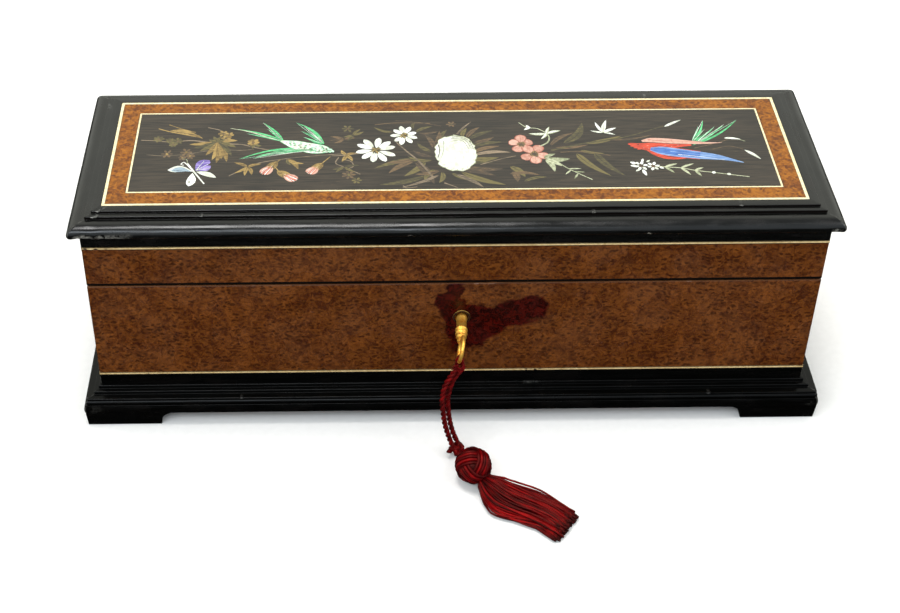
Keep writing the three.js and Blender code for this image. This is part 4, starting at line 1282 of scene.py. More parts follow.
def foliage():
    """Long brown and olive leaves that spread behind the rose."""
    for base, tip, width, paint, sway in (
        ((-13, -8), (-34.6, -14.8), 3.2, "olive", -0.08),
        ((-17, -9), (-28.4, -18.6), 3, "umber", -0.06),
        ((-18, -8), (-29.2, -10.4), 2.6, "umber", 0.06),
        ((-12, -10), (-21.6, -21), 3.2, "olive", 0.06),
        ((-12, -21), (-32.4, -27.4), 3.2, "olive", 0.06),
        ((-16.6, -9.6), (-8.8, -27), 4, "umber", 0.06),
        ((-8, -16), (-13, -24.6), 2.4, "olive", -0.1),
        ((-6, -20), (-22.4, -29.4), 1.6, "twig", 0.04),
        ((-6, -17), (-16.8, -19.6), 2.6, "umber", 0.08),
        ((-5, -18), (-6.6, -26.4), 2.4, "olive", 0.12),
        ((-1, -19), (8.4, -25), 2.2, "olive", -0.05),
        ((1, -20), (12.4, -30), 2.4, "twig", 0.05),
        ((3, -18), (22, -28.2), 3.4, "olive", -0.06),
        ((4, -17), (18, -21.2), 2.8, "umber", 0.06),
        ((5, -14), (21.6, -16), 3.2, "umber", -0.08),
        ((6, -12), (17.8, -11), 2.6, "olive", 0.08),
        ((8, -8), (20.4, -7.2), 3.2, "olive", -0.06),
        ((9, -5), (26, -3), 2.4, "twig", 0.08),
        ((9, -3), (21.4, 2), 2.6, "umber", 0.08),
        ((9, 2), (22.8, 5.4), 2.8, "olive", 0.07),
        ((10, 5), (19.4, 9.4), 2.4, "umber", -0.06),
        ((8, 8), (19, 14.8), 2.6, "olive", 0.06),
        ((7, 9), (13.4, 17.8), 2.4, "umber", 0.08),
        ((5, 10), (7.4, 17), 2.2, "olive", 0.06),
        ((2.2, 11), (10, 22.6), 1, "twig", 0.03),
        ((-5, 8), (-1.6, 15.6), 2.2, "olive", 0.08),
        ((-7, 5), (-5, 14.6), 2.4, "umber", -0.08),
        ((-8, 1), (-11.4, 11.4), 2.6, "umber", -0.08),
        ((-9, -2), (-15.2, 5.2), 2.4, "olive", 0.1),
        ((-9, -6), (-17.4, -0.8), 2.4, "umber", 0.1),
        ((-9, -9), (-19.8, -5.6), 2, "olive", 0.12),
        ((-16, 13.6), (-8, 18.8), 2, "olive", 0.1),
        ((-14.6, 13), (-5.4, 14.6), 1.8, "umber", -0.1),
        ((-17, 16), (-15.6, 22.8), 1.6, "olive", 0.1),
        ((-26, 14), (-34.4, 18.4), 1.6, "olive", 0.1),
        ((25, -14), (31, -22.4), 3.4, "olive", 0.08),
        ((26, -18), (27.4, -26), 3.2, "umber", 0.08),
        ((24, -20), (37.4, -21), 2.2, "umber", 0.1),
        ((30, -26), (40.4, -22.6), 2, "olive", 0.1),
        ((50, 3.4), (60.2, 20.6), 4.2, "olive", -0.12),
        ((44, 2), (55.4, 12.4), 2.4, "umber", 0.1),
        ((60, 3.4), (76.6, 9.4), 2.6, "olive", -0.04),
        ((46, 0.4), (61, 2.4), 2, "umber", -0.06),
        ((70, 6), (92, 10.6), 1.3, "umber", -0.06),
    ):
        leaf(base, tip, width, paint, sway, rib="line")
    ribbon([(-34, 20.6), (-24, 22), (-9, 21.4)], 0.5, 0.4, "umber")
    ribbon([(-24.6, 24), (-14, 22.2), (-4, 19)], 0.4, 0.4, "umber")
    blossom((0.6, 20.4), 2.4, 6, 1.1, "umber", "olive")
    ribbon([(-22.6, -30), (-17.6, -27.2), (-10.4, -25)], 0.5, 0.3, "twig")
    ribbon([(-22.4, -28.2), (-20.6, -30), (-16.2, -29.2)], 0.6, 0.4, "twig")
    ribbon([(-4.4, -26.4), (1.4, -30.2)], 0.7, 0.3, "twig")
    ribbon([(44, -2), (60, 3.8), (78, 8.4), (97, 17.4)], 1.2, 0.4, "olive")


def rose():
    """A full white flower of lapping petals, with a few greenish folds at its upper right."""
    centre = Vector((1.6, -3.2))
    wide, tall = 8.9, 14.2

    def at(radius, direction):
        spot = towards(radius, direction)
        return centre + Vector((spot.x * wide, spot.y * tall))

    for ring, grow in (("bone_shade", 1.035), ("bone", 1)):
        for k in range(13):
            direction = 360 / 13 * k + 8
            tip = at(grow * (0.99 if k % 2 else 1.02), direction)
            leaf(at(0.1, direction), tip, 8 * grow, ring, 0.04, 0.6, blunt=2.6)
        show([at(0.86, 15 * k) for k in range(24)], ring)
    for k in range(6):
        fold = ((0.7 + 0.07 * k, 108 - 3 * k), (0.8 + 0.05 * k, 62 - 3 * k), (0.72 + 0.06 * k, 16 - 2 * k))
        ribbon([at(*spot) for spot in fold], 0.36, 0.24, "bone_shade" if k % 2 else "olive", 8)
    ribbon([at(0.9, 128), at(0.62, 160), at(0.78, 200)], 0.35, 0.2, "bone_shade", 8)
    ribbon([at(0.96, 150), at(0.8, 172), at(0.94, 196)], 0.5, 0.3, "olive", 8)
    for k in range(9):
        ribbon([at(1, 205 + 16 * k), at(0.86, 211 + 16 * k)], 0.3, 0.15, "bone_shade")


def pink_flowers():
    ribbon([(12, -12.6), (21, -8.4), (28, -6)], 0.5, 0.4, "twig")
    for centre, radius, start in (((31.2, 3.4), 5.6, 20), ((36.4, -4.6), 6, 60)):
        blossom(centre, radius, 5, 4.4, "rose", "umber", start, 1.3, "salmon", 0.3, edge="salmon")
        for k in range(10):
            direction = start + 36 * k
            ribbon([Vector(centre) + towards(radius * s, direction) for s in (0.2, 0.45)], 0.3, 0.14, "tan")
    leaf((40.6, -8.4), (51.8, -8.6), 3.6, "bone_shade", -0.08, rib="olive")
    leaf((41, -9.2), (44.2, -18.6), 2.6, "bone_shade", 0.1, rib="olive")
    leaf((41, -8.8), (47.8, -14.2), 2.8, "bone_shade", 0.06, rib="olive")
    leaf((40.4, -7.8), (45.6, -4.6), 2.2, "bone_shade", 0.06, rib="olive")
    ribbon([(45, -9.4), (50.4, -16.4), (59.9, -25)], 0.5, 0.45, "bone_shade")
    for base, tip in (
        ((50.4, -16.4), (56, -16.4)),
        ((52.4, -18.6), (57.4, -19.2)),
        ((51.4, -17.4), (48.6, -20.8)),
        ((54.2, -20.2), (52.2, -24.2)),
    ):
        leaf(base, tip, 0.9, "bone_shade")


def white_sprays():
    ribbon([(39.6, 1.6), (43, 4.6), (44.2, 8.6), (43.2, 13.2)], 0.8, 0.6, "bone_shade")
    for tip, width in (((35.2, 12), 2.2), ((49.8, 14.4), 2.3), ((45, 17.6), 1.5), ((40.4, 7.4), 1.5)):
        leaf((43.4, 11.8), tip, width, "bone_shade", 0.05)
        leaf((43, 11.9), Vector(tip) * 0.92 + Vector((43.2, 11.8)) * 0.08, width * 0.55, "bone", 0.05)
    ribbon([(42.8, 13), (39.4, 16.2), (34.8, 17.2), (31.4, 21.4)], 0.5, 0.35, "bone_shade")
    leaf((36.4, 17.4), (33.4, 15.2), 1.5, "bone")
    leaf((36, 16.6), (34.6, 19.2), 1.2, "bone")
    for tip, width in (
        ((66.2, 21), 1.5), ((71.4, 22.6), 2), ((75.2, 16.2), 1.8), ((63.4, 14), 1.2), ((74.2, 10.6), 1.1),
    ):
        leaf((69, 12.4), tip, width, "bone", 0.04, rib="bone_shade")
    for base, tip, width in (
        ((55, -4.4), (68.4, -22.2), 3.4), ((63, -4), (74.6, -22.2), 3.6), ((57, -2), (67.6, -4.6), 1.8),
    ):
        leaf(base, tip, width, "olive", -0.06, 0.28, rib="line")
    ribbon([(48, -3.4), (58, -3), (70, -6.2)], 0.5, 0.4, "umber")
    leaf((97.2, 16.8), (105.6, 22.4), 1.5, "bone", 0.02, 0.4)
    leaf((122.6, 7), (130, 5.8), 1.5, "bone", 0.05, 0.4)
    ribbon([(129.4, 5.6), (131.8, 4.2)], 0.5, 0.2, "bone_shade")
    leaf((130.2, -2.8), (136, -10.2), 1.7, "bone", 0.03, 0.4)
    ribbon([(108, -1), (120, 3.6), (124, 6)], 0.35, 0.3, "umber")
    ribbon([(116, -2), (124, 0.4), (130, -2.6)], 0.35, 0.3, "umber")


def white_sprig():
    """White blossoms and a long sprig of paired leaves under the red bird."""
    stem = [(89, -15.2), (99.6, -16.6), (105.6, -18.6), (113.6, -20.4), (128.4, -23.9)]
    ribbon(stem, 0.55, 0.4, "bone_shade")
    for root, tips in (
        ((92.6, -15.7), ((98.6, -13.2), (96.4, -20.4))),
        ((99.6, -16.6), ((105.7, -13.3), (103.2, -22))),
        ((105.4, -18.6), ((109.6, -16.4), (107.7, -23.1))),
    ):
        for tip in tips:
            leaf(root, tip, 1.3, "bone_shade", 0.03)
    for spot in ((113.5, -20.3), (119.9, -21.7)):
        blossom(spot, 0.9, 6, 0.8, "bone")
    for centre, radius in (((82.4, -14.6), 3.2), ((87.8, -15), 2.9)):
        blossom(centre, radius, 6, 1.4, "bone", "umber", 10, 1.2, heart_size=0.36, blunt=1.3)
    for base, tip, width in (
        ((80.4, -13), (78, -11.6), 1.7), ((80.4, -14.8), (77.8, -14.4), 1.7), ((83.2, -11.8), (84, -9), 1.1),
        ((85.2, -11.8), (86.9, -10.2), 1.1), ((82.8, -17.6), (83.9, -22.3), 1.6),
        ((81.4, -17.4), (79.6, -18.9), 1.2), ((90.4, -15.8), (92.2, -16.8), 1.2),
    ):
        leaf(base, tip, width, "bone")


RED_BIRD = [(78.9, 2.9), (83, 1.4), (88, 0.4), (94, 0.7), (100, 1.3), (107, 1.6)]
ROSE_WING = [(85.4, 5), (89.8, 5.8), (97.7, 4.9), (106.3, 3.8), (112.8, 3.1), (121, 3.2)]
BLUE_WING = [
    (88.4, -1.4), (92.2, -2.4), (96.4, -3.6), (102.7, -5.2), (109.7, -6.8), (116.7, -8.3), (121.4, -9.9),
    (127.9, -12.7),
]
BLUE_WING_HALVES = [1.1, 3, 3.4, 3.2, 2.9, 2.1, 1.2, 0.2]


def red_bird():
    """A red bird that flies to the left, with one rose wing, one blue wing and green tail feathers."""
    near = [(115.5, 21.8), (112.8, 17), (115, 14.4), (118, 13)]
    feathers((106.6, 2), near, 1, "green", ["bone", "pale_green"])
    far = [(131, 22), (124.6, 18.2), (120.2, 16.7), (116.6, 12.7)]
    feathers((108, 1.4), far, 1, "green", ["pale_green", "bone"])
    for tip in ((79.2, 3.6), (79.6, 1), (80.8, -0.4), (82.4, -1.6)):
        leaf((88, 1.6), tip, 2, "red", 0.05, 0.5)
    lofted(RED_BIRD, [0.3, 1.9, 3.4, 2.6, 1.7, 0.7], "red")
    leaf((86.4, -2), (104.6, -8.8), 2.2, "red", -0.16, 0.4)
    lofted(ROSE_WING, [1, 2.1, 2.3, 1.7, 1.1, 0.2], "line")
    lofted(ROSE_WING, [0.7, 1.8, 2, 1.4, 0.8, 0.1], "rose")
    ribbon([(88, 6.4), (94, 5.2), (102, 4.8), (112, 3.4)], 0.25, 0.15, "red")
    ribbon([(90, 5.2), (98, 4.6)], 0.2, 0.15, "line")
    lofted(BLUE_WING[:5], [half + 0.4 for half in BLUE_WING_HALVES[:5]], "red")
    lofted(BLUE_WING, BLUE_WING_HALVES, "pale_blue")
    lofted(BLUE_WING, [half * 0.64 for half in BLUE_WING_HALVES], "blue")
    lofted(BLUE_WING[4:], [half * 0.75 for half in BLUE_WING_HALVES[4:]], "pale_blue")
    ribbon([(97, -3.4), (106, -5.4), (116, -7.8)], 0.5, 0.2, "pale_blue")
    ribbon([(100, -6), (110, -8), (120, -10.6)], 0.3, 0.15, "bone")
    speckle(RED_BIRD, [0.3, 1.4, 2.6, 2, 1.2, 0.5], 14, "rose", 0.6)
    blossom((83.4, 2.4), 0.4, 6, 0.35, "line", "line")

def fine_scratches():
    """Short brown nicks in the ground."""
    for _ in range(26):
        x = pick.uniform(-PANEL_LONG + 6, PANEL_LONG - 6)
        y = pick.uniform(-PICTURE_EDGE + 2, PICTURE_EDGE - 2)
        ribbon([(x, y), (x + pick.uniform(0.6, 2.2), y + pick.uniform(-0.5, 0.5))], 0.12, 0.06, "umber")


def within_panel(point):
    """A figure's point, held back a little from the panel's edges."""
    limits = (PANEL_LONG - FIGURE_MARGIN, PICTURE_EDGE - FIGURE_MARGIN)
    return Vector([max(-limit, min(limit, value)) for value, limit in zip(point, limits)])


def inside(outline, spots):
    """Which of the spots a closed outline goes round, one or more times."""
    turns = np.zeros(len(spots), dtype=int)
    for a, b in zip(outline, outline[1:] + outline[:1]):
        left_of = (b.x - a.x) * (spots[:, 1] - a.y) - (spots[:, 0] - a.x) * (b.y - a.y)
        turns += (a.y <= spots[:, 1]) & (spots[:, 1] < b.y) & (left_of > 0)
        turns -= (b.y <= spots[:, 1]) & (spots[:, 1] < a.y) & (left_of < 0)
    return turns != 0


def topmost(outlines, spots):
    """For each spot the number of the last outline round it, counted from 1, or 0 for the bare ground."""
    owners = np.zeros(len(spots), dtype=int)
    for k, outline in enumerate(outlines):
        corners = np.array([tuple(p) for p in outline])
        near = ((spots > corners.min(axis=0)) & (spots < corners.max(axis=0))).all(axis=1)
        near = np.flatnonzero(near)
        owners[near[inside(outline, spots[near])]] = k + 1
    return owners


def make_picture():
    """The whole panel as one flat closed slab whose top is divided between ground and figures."""
    corner_signs = ((-1, -1), (1, -1), (1, 1), (-1, 1))
    coordinates = [Vector((x * PANEL_LONG, y * PICTURE_EDGE)) for x, y in corner_signs]
    edges = [(0, 1), (1, 2), (2, 3), (3, 0)]
    outlines = [[within_panel(point) for point in outline] for outline, _ in figures]
    for outline in outlines:
        base, count = len(coordinates), len(outline)
        coordinates += outline
        edges += [(base + i, base + (i + 1) % count) for i in range(count)]
    flat, _, triangles, sources = geometry.delaunay_2d_cdt(coordinates, edges, [], 0, 0.004)[:4]
    around = np.array([[tuple(flat[v]) for v in triangle] for triangle in triangles])
    owners = topmost(outlines, around.mean(axis=1))
    paints = [PAINT["ground"]] + [PAINT[paint] for _, paint in figures]
    shades = [0.5] + [pick.uniform(0.1, 0.9) for _ in figures]
    points = [(p.x, p.y, LID_TOP) for p in flat]
    faces = [tuple(t) for t in triangles]
    corners = [next(i for i, merged in enumerate(sources) if k in merged) for k in range(4)]
    base = len(points)
    points += [(*corner, FIELD_UNDER) for corner in coordinates[:4]]
    for k in range(4):
        n = (k + 1) % 4
        faces.append((corners[n], corners[k], base + k, base + n))
    faces.append((base + 3, base + 2, base + 1, base))
    finishes = [paints[owner] for owner in owners] + [PAINT["ground"]] * 5
    tints = [shades[owner] for owner in owners] + [0.5] * 5
    piece(
        "inlaid_picture", points, faces, "lid", finishes, "inlaid_panel", ["picture_panel"], smooth=False,
        attributes={"tint": tints},
    )


for draw_figure in (
    fine_scratches, foliage, dry_sprigs, butterfly, stem_and_buds, green_bird, daisies, rose, pink_flowers,
    white_sprays, white_sprig, red_bird,
):
    draw_figure()
make_picture()


# ---------------------------------------------------------------- key and escutcheon
def key_place(x, out, z):
    """A point of the key: out is the distance from the wall's face along the shank."""
    spun = Matrix.Rotation(KEY_TURN, 3, "Y") @ Vector((x, -out, z))
    tilted = Matrix.Rotation(KEY_TILT, 3, "Z") @ spun
    return tilted + Vector((KEYHOLE_X, -WALL_FACE, KEYHOLE_Z))


def lathe(profile, sides, position):
    """A closed turned body from (radius, place) points. position puts (x, place, z) where it belongs."""
    points = []
    for radius, reach in profile:
        for angle in full_turn(sides):
            points.append(position(radius * math.cos(angle), reach, radius * math.sin(angle)))
    return points, skin(len(profile), sides)


def slab(corner, opposite, ease, position=lambda *point: Vector(point)):
    """A block between two corners, its edges eased with a narrow round."""
    body = bmesh.new()
    bmesh.ops.create_cube(body, size=1)
    for vert in body.verts:
        shares = vert.co + Vector((0.5, 0.5, 0.5))
        spans = zip(Vector(corner), Vector(opposite), shares)
        vert.co = Vector([start + (end - start) * share for start, end, share in spans])
    bmesh.ops.bevel(body, geom=list(body.edges), offset=ease, segments=2, affect="EDGES", profile=0.6)
    points = [position(*vert.co) for vert in body.verts]
    faces = [tuple(vert.index for vert in face.verts) for face in body.faces]
    body.free()
    return points, faces


def key_stem():
    """The turned shank: the end in the lock, a plain barrel, three beads and a neck."""
    profile = [(2, -5.9), (2.2, -5.5), (2.2, 0.5), (2.45, 0.8), (2.45, 1.8), (2.2, 2.1), (2.2, 8), (2.3, 8.3)]
    for foot, top, radius in ((8.7, 9.8, 2.75), (11.4, 12.2, 2.65), (13.6, 14.5, 2.3)):
        profile += [(radius - 0.45, foot), (radius - 0.1, foot + 0.2), (radius, (foot + top) / 2)]
        profile += [(radius - 0.1, top - 0.2), (radius - 0.45, top), (radius - 0.9, top + 0.5)]
    profile += [(1.45, 15.4), (1.75, 15.9), (1.9, 16.3), (1.7, 16.8), (1.3, 17.6)]
    return lathe(profile, 40, key_place)


def key_bow():
    """The key's ring, thicker where it meets the neck."""
    steps, sides = 72, 12
    points = []
    for angle in full_turn(steps):
        thick = BOW_WIRE + 0.25 * max(0, -math.cos(angle))
        centre = Vector((0, BOW_CENTRE + BOW_LONG * math.cos(angle), BOW_TALL * math.sin(angle)))
        outward = Vector((0, math.cos(angle), math.sin(angle)))
        for turn in full_turn(sides):
            point = centre + outward * (thick * math.cos(turn)) + Vector((0.85 * math.sin(turn), 0, 0))
            points.append(key_place(*point))
    return points, skin(steps, sides, closed=True, flipped=True)


def make_key():
    bit = slab((-0.85, -5.7, -6.3), (0.85, -4.1, -1), 0.15, key_place)
    points, faces, _ = joined([(*body, []) for body in (key_stem(), key_bow(), bit)])
    sharpen(piece("turned_key", points, faces, "box", KEY_BRASS_LIT, "brass", ["key"]), 50)


def keyhole_outline(grow=0, deeper=0):
    """A round hole with a slot below it, as (x, z) points round its edge, wider all round by grow."""
    radius, slot_half, slot_depth = (size + grow for size in KEYHOLE)
    meet = math.asin(slot_half / radius)
    sweep = 2 * math.pi - 2 * meet
    start = -math.pi / 2 + meet
    points = []
    for k in range(KEYHOLE_STEPS + 1):
        angle = start + sweep * k / KEYHOLE_STEPS
        points.append((radius * math.cos(angle), radius * math.sin(angle)))
    depth = slot_depth + deeper
    return points + [(-slot_half, -depth), (slot_half, -depth)]


def make_escutcheon():
    """The brass surround of the keyhole, with a rounded lip that stands a little proud."""
    wide = SURROUND_WIDE
    rings = [(0, -1.3), (0, 0.2), (0.1, 0.28), (0.5, 0.3), (0.85, 0.28), (wide, 0.2), (wide, -1.3)]
    points = []
    for grow, out in rings:
        for x, z in keyhole_outline(grow):
            points.append((KEYHOLE_X + x, -WALL_FACE - out, KEYHOLE_Z + z))
    count = len(points) // len(rings)
    # The lip's front face takes the painted shade brass; its inner and outer edges stay bright.
    finishes = [BRASS_SHADE if i in (2, 3) else BRASS for i in range(len(rings)) for _ in range(count)]
    faces = skin(len(rings), count, closed=True)
    sharpen(piece("keyhole_surround", points, faces, "box", finishes, "brass", ["escutcheon"]), 50)


make_key()
make_escutcheon()


# ---------------------------------------------------------------- feet, and other pieces in the CAD's form
def carried(node, body, finish, slot, name, ease):
    """A piece with the CAD node's form and eased edges, which stands for it."""
    mesh = bmesh.new()
    mesh.from_mesh(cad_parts[node].data)
    bmesh.ops.remove_doubles(mesh, verts=list(mesh.verts), dist=0.00001)
    flat = math.radians(2)
    bmesh.ops.dissolve_limit(mesh, angle_limit=flat, verts=list(mesh.verts), edges=list(mesh.edges))
    sharp = [e for e in mesh.edges if len(e.link_faces) == 2 and e.calc_face_angle(0) > math.radians(28)]
    bmesh.ops.bevel(
        mesh, geom=sharp, offset=ease * MM, segments=2, affect="EDGES", profile=0.5, clamp_overlap=True,
        miter_outer="ARC",
    )
    data = bpy.data.meshes.new(name)
    mesh.to_mesh(data)
    mesh.free()
    data.materials.clear()
    data.materials.append(finish)
    data.polygons.foreach_set("use_smooth", [True] * len(data.polygons))
    obj = add_object(name, data)
    declare(obj, body, slot, [node])
    return sharpen(obj, 40)


for foot_row in ("front", "back"):
    for foot_side in ("left", "right"):
        foot_node = f"foot_{foot_row}_{foot_side}"
        carried(foot_node, "box", EBONY_SHADED["long"], "ebonised_wood", f"bracket_{foot_node}", 0.7)


# ---------------------------------------------------------------- knot, ball and fringe
def silk_piece(name, bodies, replaces=()):
    points, faces, tints = joined(bodies)
    return piece(name, points, faces, "box", SILK, "silk", replaces, attributes={"tint": tints})


def round_body(centre, radii, across, down, tint):
    """A plain closed ball that fills the middle of the knot or of the woven ball."""
    points = [centre + Vector((0, 0, radii[2]))]
    for i in range(1, down):
        polar = math.pi * i / down
        for angle in full_turn(across):
            offset = (math.sin(polar) * math.cos(angle), math.sin(polar) * math.sin(angle), math.cos(polar))
            points.append(centre + Vector([radii[j] * offset[j] for j in range(3)]))
    points.append(centre - Vector((0, 0, radii[2])))
    neighbours = [(k, (k + 1) % across) for k in range(across)]
    faces = [(0, 1 + k, 1 + n) for k, n in neighbours]
    for row in range(1, 1 + (down - 2) * across, across):
        below = row + across
        faces += [(row + k, below + k, below + n, row + n) for k, n in neighbours]
    last = len(points) - 1
    faces += [(last, last - across + n, last - across + k) for k, n in neighbours]
    return points, faces, [tint] * len(points)


def make_hitch():
    """The cord's loop through the key's bow, and the turns that hold its two legs together."""
    left, right = Vector(STRAND_LEFT[0]), Vector(STRAND_RIGHT[0])
    over = [
        left + Vector((0, 0, -0.2)),
        left + Vector((0.1, 0.6, 1.6)),
        left + Vector((0.5, 1.5, 3.1)),
        Vector((1.6, -74.9, 53.9)),
        right + Vector((-0.5, 1.4, 3)),
        right + Vector((-0.2, 0.5, 1.5)),
        right + Vector((0, 0, -0.2)),
    ]
    cords = [cord_through(over, 90, 0.95, 3.6)]
    middle = (left + right) / 2 + Vector((0, 0, -0.4))
    for lift, wide, thick in ((0, 1.9, 0.6), (1.1, 1.75, 0.55)):
        turn = []
        for k in range(21):
            angle = 2 * math.pi * k / 20
            ring = Vector((wide * math.cos(angle), 1.5 * math.sin(angle), lift + 0.5 * math.sin(angle)))
            turn.append(middle + ring)
        cords.append(cord_through(turn, 80, thick, 3))
    for reach, rise in ((-3.2, 1.2), (-2.6, -1.6), (-3.6, -0.4)):
        loose = [(-1.2, -0.8, 0.2), (reach * 0.6, -1.3, rise + 0.8), (reach, -1, rise)]
        points, faces = tube(curve_points([middle + Vector(p) for p in loose], 10), [0.22] * 11, 6)
        cords.append((points, faces, [0.5] * len(points)))
    return silk_piece("tassel_hitch", cords)


def make_knot():
    """An overhand knot in both strands, with a cut end that sticks out of it."""
    parts = [round_body(KNOT_CENTRE, (2.2, 1.9, 2.1), 12, 8, 0.3)]
    for shift, half in ((0, 1.05), (1.05, 0.95)):
        run = []
        for k in range(61):
            t = 2 * math.pi * k / 60 + shift
            x = (math.sin(t) + 2 * math.sin(2 * t)) / 3
            y = (math.cos(t) - 2 * math.cos(2 * t)) / 3
            point = Vector((2.65 * x, 1.5 * -math.sin(3 * t), 2.4 * y))
            run.append(KNOT_CENTRE + Matrix.Rotation(0.5, 3, "Z") @ point)
        parts.append(cord_through(run, 240, half, 3.6))
    stub = [KNOT_CENTRE + Vector(p) for p in ((-1.2, -0.6, 0), (-2.6, -1.4, 0.3), (-4, -2.2, 0.1))]
    parts.append(cord_through(stub, 30, 1.15, 4))
    end = Vector(STRAND_RIGHT[-1])
    way_in = [end, (end + KNOT_CENTRE) / 2 + Vector((0.7, 0.2, 0.6)), KNOT_CENTRE + Vector((0.7, 0, 0.6))]
    parts.append(cord_through(way_in, 24, 1.2, 4.4))
    return silk_piece("tassel_knot", parts, ["cord_knot"])


def ball_axes():
    """Three square directions that share the way the ball's weave meets in a corner."""
    side = BALL_FACING.cross(Vector((0, 0, 1))).normalized()
    up = side.cross(BALL_FACING)
    axes = []
    for k in range(3):
        angle = BALL_ROLL + 2 * math.pi * k / 3
        outward = side * math.cos(angle) + up * math.sin(angle)
        axes.append(BALL_FACING / math.sqrt(3) + outward * math.sqrt(2 / 3))
    return axes


def ball_cord(run, radius, sides):
    """A tube along a closed run, whose sides are counted from the ball's centre outwards."""
    points = []
    for i, point in enumerate(run):
        ahead = (run[(i + 1) % len(run)] - run[i - 1]).normalized()
        out = (point - BALL_CENTRE).normalized()
        across = ahead.cross(out).normalized()
        for angle in full_turn(sides):
            points.append(point + (across * math.cos(angle) + out * math.sin(angle)) * radius)
    return points, skin(len(run), sides, closed=True)


def make_ball():
    """Three bands of cords that run round the ball, each over the next and under the one before."""
    axes = ball_axes()
    surface = BALL_RADIUS - BALL_CORD_RADIUS - 0.42
    # The core's tint of 0.1 makes it darker than the cords, as painted shade in the gaps between them.
    parts = [round_body(BALL_CENTRE, (surface - 0.45,) * 3, 28, 18, 0.1)]
    steps = 96
    for number, pole in enumerate(axes):
        first, second = axes[(number + 1) % 3], axes[(number + 2) % 3]
        for cord in range(BALL_CORDS):
            lift = (cord - (BALL_CORDS - 1) / 2) * BALL_CORD_GAP
            run = []
            for turn in full_turn(steps):
                radius = surface + BALL_WAVE * math.cos(2 * turn)
                flat = math.sqrt(radius * radius - lift * lift)
                around = (first * math.cos(turn) + second * math.sin(turn)) * flat
                run.append(BALL_CENTRE + pole * lift + around)
            points, faces = ball_cord(run, BALL_CORD_RADIUS, 8)
            parts.append((points, faces, [0.26 + 0.3 * (cord % 2)] * len(points)))
    return silk_piece("tassel_woven_ball", parts, ["tassel_ball"])


def fringe_size(share):
    """The fringe's half breadth and its height at a share of its length."""
    share = min(share, 1)
    for before, after in zip(FRINGE_FORM, FRINGE_FORM[1:]):
        if share <= after[0]:
            part = (share - before[0]) / (after[0] - before[0])
            return [start + (end - start) * part for start, end in zip(before[1:], after[1:])]


def make_fringe():
    """Loose cords that leave the ball's lower end and lie along the floor, some of them astray."""
    draw = random.Random(7)
    along = SKIRT_END - SKIRT_START
    across = Vector((-along.y, along.x, 0)).normalized()
    root = BALL_CENTRE + (SKIRT_START - BALL_CENTRE) * 0.75
    root.z = 5
    last = 2 * FRINGE_STEPS
    parts = []
    for number in range(FRINGE_STRANDS):
        lane = draw.uniform(-1, 1)
        layer = draw.random()
        dome = math.sqrt(max(0.05, 1 - lane * lane))
        reach = 0.97 + draw.uniform(-0.05, 0.045)
        stray = number % 17 == 0
        swing = draw.uniform(0.2, 0.7) * (2.4 if stray else 1)
        waves = draw.uniform(0.8, 1.7)
        phase = draw.uniform(0, 2 * math.pi)
        drift = draw.uniform(-0.22, 0.22)
        if stray:
            lane = math.copysign(draw.uniform(0.95, 1.12), lane)
        start = root + across * lane * 3.6 + Vector((0, 0, 3.4 * layer - 1.6))
        run = []
        for i in range(FRINGE_STEPS + 1):
            share = i / FRINGE_STEPS * reach
            half_breadth, full_height = fringe_size(share)
            aside = lane * (1 + drift * share * (1 - share)) * half_breadth
            aside += swing * math.sin(waves * 2 * math.pi * share + phase) * min(1, share * 4)
            aside -= math.sin(2 * math.pi * (share * 1.1 - 0.05)) * min(1, share * 5)
            height = FRINGE_STRAND_RADIUS + 0.35
            height += (full_height - 2 * FRINGE_STRAND_RADIUS) * (0.15 + 0.85 * layer) * dome
            point = SKIRT_START + along * share + across * aside
            point.z = height
            ease = min(1, share / 0.1)
            ease = ease * ease * (3 - 2 * ease)
            run.append(start.lerp(point, ease) if share < 0.1 else point)
        radii = [FRINGE_STRAND_RADIUS * (1 if i < last - 2 else 1.25) for i in range(last + 1)]
        points, faces = tube(curve_points(run, last), radii, 6)
        shade = draw.uniform(0.1, 0.8)
        tints = [max(0, shade - (0.35 if i // 6 > last - 3 else 0)) for i in range(len(points))]
        parts.append((points, faces, tints))
    return silk_piece("tassel_fringe", parts, ["tassel_skirt"])


HITCH = make_hitch()
HANGING = [make_knot(), make_ball(), make_fringe()]


# ---------------------------------------------------------------- boards, lock and hinges
def cutter(x_span, y_span, z_span):
    """A block to cut away, between two places along each axis."""
    return slab(*zip(x_span, y_span, z_span), 0.02)


def pushed_through(outline, start, end):
    """A prism of an (x, z) outline about the keyhole, that runs from one depth in the wall to another."""
    points = [(KEYHOLE_X + x, -depth, KEYHOLE_Z + z) for depth in (start, end) for x, z in outline]
    return points, skin(2, len(outline))


def cut_away(obj, bodies):
    """Cuts closed bodies out of a piece. The cut faces are bare wood."""
    for points, faces in bodies:
        mesh = bpy.data.meshes.new("cut")
        mesh.from_pydata([place(p) for p in points], [], faces)
        mesh.materials.append(CARCASS)
        solid = bmesh.new()
        solid.from_mesh(mesh)
        bmesh.ops.recalc_face_normals(solid, faces=list(solid.faces))
        solid.to_mesh(mesh)
        solid.free()
        tool = add_object("cut", mesh)
        change = obj.modifiers.new("cut", "BOOLEAN")
        change.operation = "DIFFERENCE"
        change.solver = "EXACT"
        change.material_mode = "TRANSFER"
        change.object = tool
        bpy.context.view_layer.update()
        result = bpy.data.meshes.new_from_object(obj.evaluated_get(bpy.context.evaluated_depsgraph_get()))
        obj.modifiers.clear()
        before, name = obj.data, obj.data.name
        obj.data = result
        bpy.data.meshes.remove(before)
        result.name = name
        bpy.data.objects.remove(tool)
        bpy.data.meshes.remove(mesh)
    sharpen(obj)


def widened(start, end):
    return start - RUNNING_GAP, end + RUNNING_GAP


